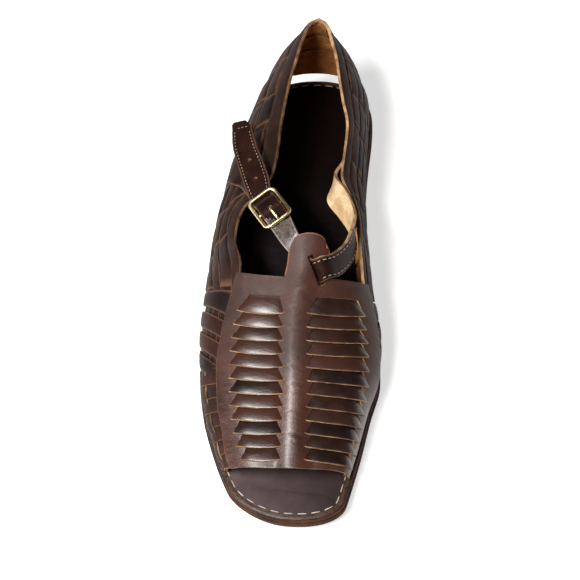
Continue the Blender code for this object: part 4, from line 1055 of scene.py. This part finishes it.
def rakedStrips():
    made = Sheets()
    rng = np.random.default_rng(3)
    for number, (place, half, c) in enumerate(raked()):
        states = [0] + [1 if c is None or crossing(c, k) else 0 for k in range(weave["strips"])] + [0]
        spots = [0.0] + rowMiddles + [1.0]
        tone = rng.uniform(0.1, 0.9)
        lines = []
        for k in range(37):
            up = 0.02 + 0.93 * k / 36
            height = lerp(weave["under"], weave["over"], wave(up, spots, states))
            height = lerp(height, 0.0002, max(ease(up, 0.86, 0.90), 1 - ease(up, 0.06, 0.12)))
            lines.append([weaveSpot(place + w * half, up, height - 0.00025 * abs(w) ** 3)
                          for w in (-1, -0.6, -0.2, 0.2, 0.6, 1)])
        made.grid(lines, tone, lambda i, j: 1.0 if j in (0, 5) else 0.0, 0, number, True)
    carryUpper(made, "rakedStrips", [weaveGrain, dyedEdge, tanFlesh], weave["thick"], weave["edge"])


def longStrips():
    made = Sheets()
    rng = np.random.default_rng(5)
    half = weave["wide"] / 2 * rowPitch
    spots = [strip[0] for strip in raked()]
    for s, middle in enumerate(rowMiddles):
        states = [0 if c is None or crossing(c, s) else 1 for _, _, c in raked()]
        tone = rng.uniform(0.2, 0.8)
        sway = rng.uniform(0, 2 * math.pi, 3)
        lines = []
        count = 200
        for k in range(count + 1):
            at = lerp(-frontAlong, frontAlong, k / count)
            height = lerp(weave["under"], weave["over"], wave(at, spots, states))
            slim = half * (1 + 0.07 * math.sin(9 * at + sway[0]))
            lie = 0.10 * half * math.sin(7 * at + sway[1]) + 0.06 * half * math.sin(17 * at + sway[2])
            lines.append([weaveSpot(at, middle + lie + w * slim, height - 0.00025 * abs(w) ** 3)
                          for w in (-1, -0.6, -0.2, 0.2, 0.6, 1)])
        made.grid(lines, tone, lambda i, j: 1.0 if j in (0, 5) else 0.0, 0, s)
    carryUpper(made, "longStrips", [weaveGrain, dyedEdge, tanFlesh], weave["thick"], weave["edge"])


def weaveBands():
    made = Sheets()
    count = 200
    bands = (("collar", 1 - weave["topBand"], 1.0, 6, 6), ("foot", 0.0, weave["lowBand"] + 0.035, 5, 0))
    for name, low, high, steps, worn in bands:
        lines = []
        for k in range(count + 1):
            at = lerp(-frontAlong, frontAlong, k / count)
            heights = [weave["bandUp"] + 0.0003 * (1 - (2 * j / steps - 1) ** 4) for j in range(steps + 1)]
            lines.append([weaveSpot(at, lerp(low, high, j / steps), height) for j, height in enumerate(heights)])
        made.grid(lines, 0.45, lambda i, j: float(j == worn), 0, name)
    carryUpper(made, "weaveBands", [weaveGrain, rawEdge, tanFlesh], weave["bandThick"], 0.0003)


rakedStrips()
longStrips()
weaveBands()
print("weave made")

# Ankle strap, short strap and buckle
strap = {"thick": 0.0020, "width": 0.0132, "shortThick": 0.0012, "shortWidth": 0.0120, "holeRadius": 0.0013,
         "holePitch": 0.0145, "holes": 3, "prongHole": 0.0016, "stitchInset": 0.0019, "scuffFrom": -0.1035,
         "scuffTo": -0.135, "steps": 7, "frontStitch": (0.0025, 0.0038, 0.00019),
         "tailStitch": (0.0014, 0.0025, 0.00015)}  # stitches: length, pitch, thread radius
buckle = {"long": 0.0240, "wide": 0.0190, "curve": 0.0016, "wire": 0.0011, "bar": 0.0009, "prong": 0.0008,
          "seat": (0.4402, -0.1736, 0.8897), "along": (-0.550, 0.828, -0.108), "across": (0.712, 0.665, 0.223)}
strapFront = [
    (0.3306, 0.165, 0.715, 0.3291, 0.150, 0.535), (0.3635, 0.222, 0.718, 0.3703, 0.125, 0.577),
    (0.4017, 0.268, 0.724, 0.4030, 0.190, 0.564), (0.4303, 0.283, 0.744, 0.4304, 0.240, 0.567),
    (0.4696, 0.266, 0.788, 0.4698, 0.284, 0.602), (0.5093, 0.236, 0.846, 0.5195, 0.271, 0.667),
    (0.5439, 0.177, 0.928, 0.5671, 0.212, 0.774), (0.5600, 0.120, 0.986, 0.5850, 0.158, 0.845),
]  # upper and lower edge: share of the length, of the ball width, of the rim height
strapTail = [
    (0.3600, -0.200, 0.872, 0.3790, -0.328, 0.824), (0.3280, -0.231, 0.868, 0.3300, -0.372, 0.809),
    (0.2824, -0.280, 0.859, 0.2807, -0.413, 0.791), (0.2317, -0.318, 0.846, 0.2298, -0.427, 0.782),
]


def edgePlace(share, across, high):
    return np.array([across * shoe["ball"], rowY(share), high * shoe["rimHeight"]])


buckleAlong = unit(np.array(buckle["along"]))
buckleAcross = np.array(buckle["across"])
buckleAcross = unit(buckleAcross - buckleAlong * buckleAcross.dot(buckleAlong))
buckleOut = unit(np.cross(buckleAcross, buckleAlong))


def bucklePlace(along, across, out):
    return edgePlace(*buckle["seat"]) + buckleAlong * along + buckleAcross * across + buckleOut * out


def frameLevel(along):
    return buckle["curve"] * (along / (buckle["long"] / 2)) ** 2


def curveThrough(points, steps):
    points = [np.array(p, float) for p in points]
    line = [points[0] * 2 - points[1]] + points + [points[-1] * 2 - points[-2]]
    result = []
    for k in range(1, len(line) - 2):
        p0, p1, p2, p3 = line[k - 1:k + 3]
        for step in range(steps):
            t = step / steps
            result.append(0.5 * (p1 * 2 + (p2 - p0) * t + (p0 * 2 - p1 * 5 + p2 * 4 - p3) * t * t
                                 + (p1 * 3 - p0 - p2 * 3 + p3) * t * t * t))
    result.append(points[-1].copy())
    return np.array(result)


def strapStations():
    half, gap = strap["thick"] / 2, shoe["gap"]
    end = buckle["long"] / 2 - buckle["wire"]
    hump = buckle["bar"] + 2 * gap + strap["shortThick"] + half
    dip = frameLevel(end) - buckle["wire"] - gap - half - 0.0002
    edges = []
    for place, room in ((0.490, 0.0002), (0.515, 0.0002), (0.545, 0.0010)):
        edges.append([wallPoint(1, place, up) - wallNormal(1, place, up) * (0.0009 + gap + half + room)
                      for up in (0.91, 0.67)])
    edges += [[edgePlace(*row[:3]), edgePlace(*row[3:])] for row in strapFront]
    drop = 0.0007 + gap + half + 0.0008
    (s0, a0), (s1, a1) = slit["from"], slit["to"]
    for pair, depth in ((((s0 + 0.002, a0), (s1 - 0.002, a1 - 0.0004)), 0.0003),
                        (((0.5300, -0.0030), (0.5640, -0.0020)), -1.6 * drop),
                        (((0.5065, -0.0084), (0.5320, -0.0146)), -1.0 * drop)):
        edges.append([vampPoint(s, a) + vampNormal(s, a) * depth for s, a in pair])
    profile = [(-end - 0.0002, dip - 0.0003), (-0.0066, 0.0009), (-0.0033, hump - 0.0004), (0.0, hump)]
    profile += [(-along, out) for along, out in reversed(profile[:-1])]
    wide = strap["width"] / 2
    edges += [[bucklePlace(along, wide, out), bucklePlace(along, -wide, out)] for along, out in profile]
    edges += [[edgePlace(*row[:3]), edgePlace(*row[3:])] for row in strapTail]
    return edges, dip, len(profile)


def ribbonSheet(made, edges, thickness, steps, across=6, crown=0.0, tip=0.0, tone=0.5):
    # a closed strap through pairs of edge points of its middle surface
    upper = curveThrough([pair[0] for pair in edges], steps)
    lower = curveThrough([pair[1] for pair in edges], steps)
    count = len(upper)
    tops, backs, outs = [], [], []
    for k in range(count):
        ahead, behind = min(k + 1, count - 1), max(k - 1, 0)
        along = upper[ahead] + lower[ahead] - upper[behind] - lower[behind]
        out = unit(np.cross(along, lower[k] - upper[k]))
        outs.append(out)
        place = [lerp(upper[k], lower[k], j / across) for j in range(across + 1)]
        if tip and k == count - 1:
            # clipped free end: the corners are cut back
            place = [p + unit(along) * (tip * min(1.0, 3.0 * (1 - abs(2 * j / across - 1.15))))
                     for j, p in enumerate(place)]
        heights = [thickness / 2 + crown * (1 - (2 * j / across - 1) ** 2) for j in range(across + 1)]
        tops.append([p + out * height for p, height in zip(place, heights)])
        backs.append([p - out * thickness / 2 for p in place])
    made.grid(tops, tone, lambda i, j: 1.0 if j in (0, across) else 0.0, flip=True)
    made.grid(backs, tone, None, 2)
    for j, flip in ((0, True), (across, False)):
        edge = [[row[j] for row in rows] for rows in (tops, backs)]
        made.grid(edge, tone, lambda a, b: 1.0, 1, flip=flip)
    made.grid([tops[0], backs[0]], tone, None, 1, flip=False)
    made.grid([tops[-1], backs[-1]], tone, None, 1, flip=True)
    return upper, lower, np.array(outs)


def rod(name, line, radius, sides=14):
    made = Sheets()
    made.tube(line, radius, sides, 1)
    return made.piece(name, [strapGrain, rawEdge, creamFlesh], smooth=False)


def ankleStrap():
    edges, dip, inBuckle = strapStations()
    made = Sheets()
    upper, lower, outs = ribbonSheet(made, edges, strap["thick"], strap["steps"], 8, 0.00012, 0.0030, 0.45)
    piece = made.piece("ankleStrapLeather", [strapGrain, rawEdge, creamFlesh, scuffed])
    prongLine = [bucklePlace(-0.0027, 0, out) for out in (0.0005, 0.0075)]
    cutters = [rod("prongCutter", prongLine, strap["prongHole"])]
    line = curveThrough([(a + b) / 2 for a, b in edges[-len(strapTail) - inBuckle // 2 - 1:]], 10)
    rings = Sheets()
    walked, count = 0.0027, 1
    for k in range(1, len(line)):
        step = np.linalg.norm(line[k] - line[k - 1])
        while count <= strap["holes"] and walked + step >= strap["holePitch"] * count:
            place = lerp(line[k - 1], line[k], (strap["holePitch"] * count - walked) / step)
            ahead = unit(line[k] - line[k - 1])
            out = unit(np.cross(ahead, buckleAcross))
            out = out if out[2] > 0 else -out
            over = np.cross(out, ahead)
            cutters.append(rod("holeCutter", [place - out * 0.0040, place + out * 0.0040], strap["holeRadius"]))
            turns = [2 * math.pi * n / 20 for n in range(20)]
            circle = [place + out * (strap["thick"] / 2 + 0.0001)
                      + (ahead * math.cos(turn) + over * math.sin(turn)) * 0.00165 for turn in turns]
            rings.tube(circle, 0.00032, 8, 0, 0.8, closed=True)
            count += 1
        walked += step
    cutAway(faceOut(piece), cutters)
    for polygon in piece.data.polygons:
        x, y, _ = polygon.center
        if polygon.material_index == 0 and strap["scuffTo"] < y < strap["scuffFrom"] and x < 0:
            polygon.material_index = 3
    carry(edgeRound(piece, 0.00032), "ankle_strap")
    carry(rings.piece("strapHoleRings", [strapGrain]), "ankle_strap")
    # stitches along both edges and across the tip, hidden stretches left out
    sewn = Sheets()
    share = strap["stitchInset"] / np.linalg.norm(lower - upper, axis=1, keepdims=True)
    face = strap["thick"] / 2 + 0.00005
    topLine = upper * (1 - share) + lower * share + outs * face
    lowLine = upper * share + lower * (1 - share) + outs * face
    hidden = 3  # stations at the root, and again under the tab
    front = slice(strap["steps"] * hidden, strap["steps"] * (hidden + len(strapFront)) - 1)
    tail = slice(strap["steps"] * (2 * hidden + len(strapFront) + inBuckle - 1), -2)
    for line in (topLine, lowLine):
        stitches(sewn, line[front], outs[front], *strap["frontStitch"])
        stitches(sewn, line[tail], outs[tail], *strap["tailStitch"])
    ends = [lerp(topLine[-2], lowLine[-2], t) for t in np.linspace(0, 1, 9)]
    stitches(sewn, ends, [outs[-2]] * 9, *strap["tailStitch"])
    carry(sewn.piece("strapStitches", [thread]), "ankle_strap")
    return dip


def shortStrap(dip):
    half, gap, thick = strap["thick"] / 2, shoe["gap"], strap["shortThick"]
    end = buckle["long"] / 2 - buckle["wire"]
    fold = buckle["bar"] + gap + thick / 2
    turns = [(0.0045, 0.0003), (0.0025, fold - 0.0004), (0.0, fold)]
    turns += [(fold * math.cos(math.radians(t)), fold * math.sin(math.radians(t))) for t in (135, 180, 225)]
    turns += [(0.0, -fold), (0.0050, -fold - 0.0009), (end, dip - half - gap - thick / 2 - 0.0002),
              (end + 0.004, dip - half - gap - thick / 2 - 0.0012)]
    wide = strap["shortWidth"] / 2
    edges = [[bucklePlace(a, wide, out), bucklePlace(a, -wide, out)] for a, out in turns]
    off = 0.0009 + 0.0009 + gap + thick / 2 + 0.0006
    for upperPlace, lowerPlace in (((0.575, 0.90), (0.640, 0.80)), ((0.555, 0.76), (0.622, 0.66)),
                                   ((0.535, 0.62), (0.602, 0.52))):
        edges.append([wallPoint(-1, *p) + wallNormal(-1, *p) * off for p in (upperPlace, lowerPlace)])
    made = Sheets()
    ribbonSheet(made, edges, thick, 6, 6)
    piece = made.piece("shortStrapLeather", [strapGrain, rawEdge, creamFlesh])
    slot = block("slotCutter", bucklePlace(0, 0, 0), (buckleAlong, buckleAcross, buckleOut),
                 (0.0066, 0.0026, 0.0070))
    cutAway(faceOut(piece), [slot])
    carry(edgeRound(piece, 0.0002), "buckle_strap")


shortStrap(ankleStrap())
print("straps made")


def brassFinish():
    f = Finish("pale brass")
    smudge = f.noise(180, 4, 0.6)
    scratch = f.noise(900, 3, 0.7, f.stretch((1.0, 0.1, 1.0), (0.4, 0.2, 0.9)))
    colour = f.blendColour(f.band(smudge, 0.35, 0.75), (0.90, 0.78, 0.46, 1), (0.78, 0.62, 0.30, 1))
    rough = 0.26 + smudge * 0.12 + f.band(scratch, 0.6, 0.8) * 0.08
    return f.finish(Base_Color=colour, Metallic=1.0, Roughness=rough, Normal=f.bump(scratch, 0.00003, 0.3))


brass = brassFinish()


def buckleParts():
    wide, long = buckle["wide"] / 2 - buckle["wire"], buckle["long"] / 2 - buckle["wire"]
    corner = 0.0030
    path = []
    for sx, sy, first in ((1, 1, 0), (-1, 1, 90), (-1, -1, 180), (1, -1, 270)):
        for k in range(8):
            turn = math.radians(first + 90 * k / 7)
            path.append((sy * (long - corner) + corner * math.sin(turn),
                         sx * (wide - corner) + corner * math.cos(turn)))
    dense = []
    for k, here in enumerate(path):
        ahead = path[(k + 1) % len(path)]
        dense.append(here)
        if math.hypot(ahead[0] - here[0], ahead[1] - here[1]) > 0.004:
            dense += [(lerp(here[0], ahead[0], t), lerp(here[1], ahead[1], t)) for t in (0.2, 0.4, 0.6, 0.8)]
    made = Sheets()
    made.tube([bucklePlace(a, c, frameLevel(a)) for a, c in dense], buckle["wire"], 16, closed=True)
    carry(made.piece("buckleFrameWire", [brass]), "buckle_frame")
    bar = Sheets()
    bar.tube([bucklePlace(0, lerp(-wide, wide, t), 0) for t in (0, 0.5, 1)], buckle["bar"], 12)
    carry(bar.piece("buckleCentreBar", [brass]), "buckle_frame")
    ring = buckle["bar"] + shoe["gap"] + buckle["prong"]
    turns = [math.radians(t) for t in range(20, -181, -25)]
    line = [(ring * math.cos(turn), ring * math.sin(turn)) for turn in turns]
    line += [(-ring - 0.0003, 0.0012), (-0.0027, 0.0030), (-0.0030, 0.0046), (-0.0044, 0.0058)]
    line += [(-0.0068, 0.0054)]
    line += [(-long - 0.0006, frameLevel(long) + buckle["wire"] + shoe["gap"] + buckle["prong"] + 0.0001)]
    smooth = curveThrough([bucklePlace(a, 0, out) for a, out in line], 4)
    pin = Sheets()
    radii = [buckle["prong"]] * (len(smooth) - 2) + [buckle["prong"] * 0.72] * 2
    pin.tube(smooth, radii, 12)
    carry(pin.piece("bucklePin", [brass]), "buckle_prong")


buckleParts()
print("buckle made")

# Floor, lights and camera
floor = Sheets()
floor.grid([[(x, y, -0.0001) for x in (-4, 4)] for y in (-4, 4)])
ground = floor.piece("floor", [])
paper = Finish("floor paper")
ground.data.materials.append(paper.finish(
    Base_Color=(0.80, 0.80, 0.80, 1), Roughness=0.9, Emission_Color=(1, 1, 1, 1), Emission_Strength=0.62))
world = bpy.data.worlds.new("studio")
bpy.context.scene.world = world
world.use_nodes = True
world.node_tree.nodes["Background"].inputs["Color"].default_value = (1.0, 1.0, 1.0, 1)
world.node_tree.nodes["Background"].inputs["Strength"].default_value = 0.05


def softBox(name, place, target, size, energy, colour=(1, 1, 1)):
    data = bpy.data.lights.new(name, "AREA")
    data.shape = "RECTANGLE"
    data.size, data.size_y = size
    data.energy = energy
    data.color = colour
    lamp = bpy.data.objects.new(name, data)
    lamp.location = place
    lamp.rotation_euler = (Vector(target) - Vector(place)).to_track_quat("-Z", "Y").to_euler()
    bpy.context.scene.collection.objects.link(lamp)


softBox("keyBox", (-0.36, -0.42, 0.98), (0.0, -0.16, 0.03), (0.56, 0.14), 14.5, (1.0, 0.97, 0.93))
softBox("leftBox", (-0.9, -0.7, 0.45), (0.0, -0.14, 0.03), (0.4, 0.4), 6.0)
softBox("rightBox", (0.8, -0.5, 0.8), (0.0, -0.14, 0.03), (0.4, 0.4), 0.6)

view = {"place": (0.0608, -0.5582, 0.7794), "toward": (-0.00716, 0.49995, -0.8660), "focal": 1480,
        "image": 580, "shoeMiddle": 183}
toward = Vector(view["toward"]).normalized()
right = toward.cross(Vector((0, 0, 1))).normalized()
upward = right.cross(toward)
toward = (toward + right * ((view["shoeMiddle"] - view["image"] / 2) / view["focal"])).normalized()
right = toward.cross(upward).normalized()
upward = right.cross(toward)
camera = bpy.data.objects.new("camera", bpy.data.cameras.new("camera"))
camera.data.sensor_width = 36
camera.data.lens = 36 * view["focal"] / view["image"]
camera.data.clip_start = 0.01
turned = Matrix((right, upward, -toward)).transposed().to_4x4()
camera.matrix_world = Matrix.Translation(view["place"]) @ turned
bpy.context.scene.collection.objects.link(camera)
bpy.context.scene.camera = camera
bpy.context.scene.view_settings.view_transform = "Standard"

print("scene ready")
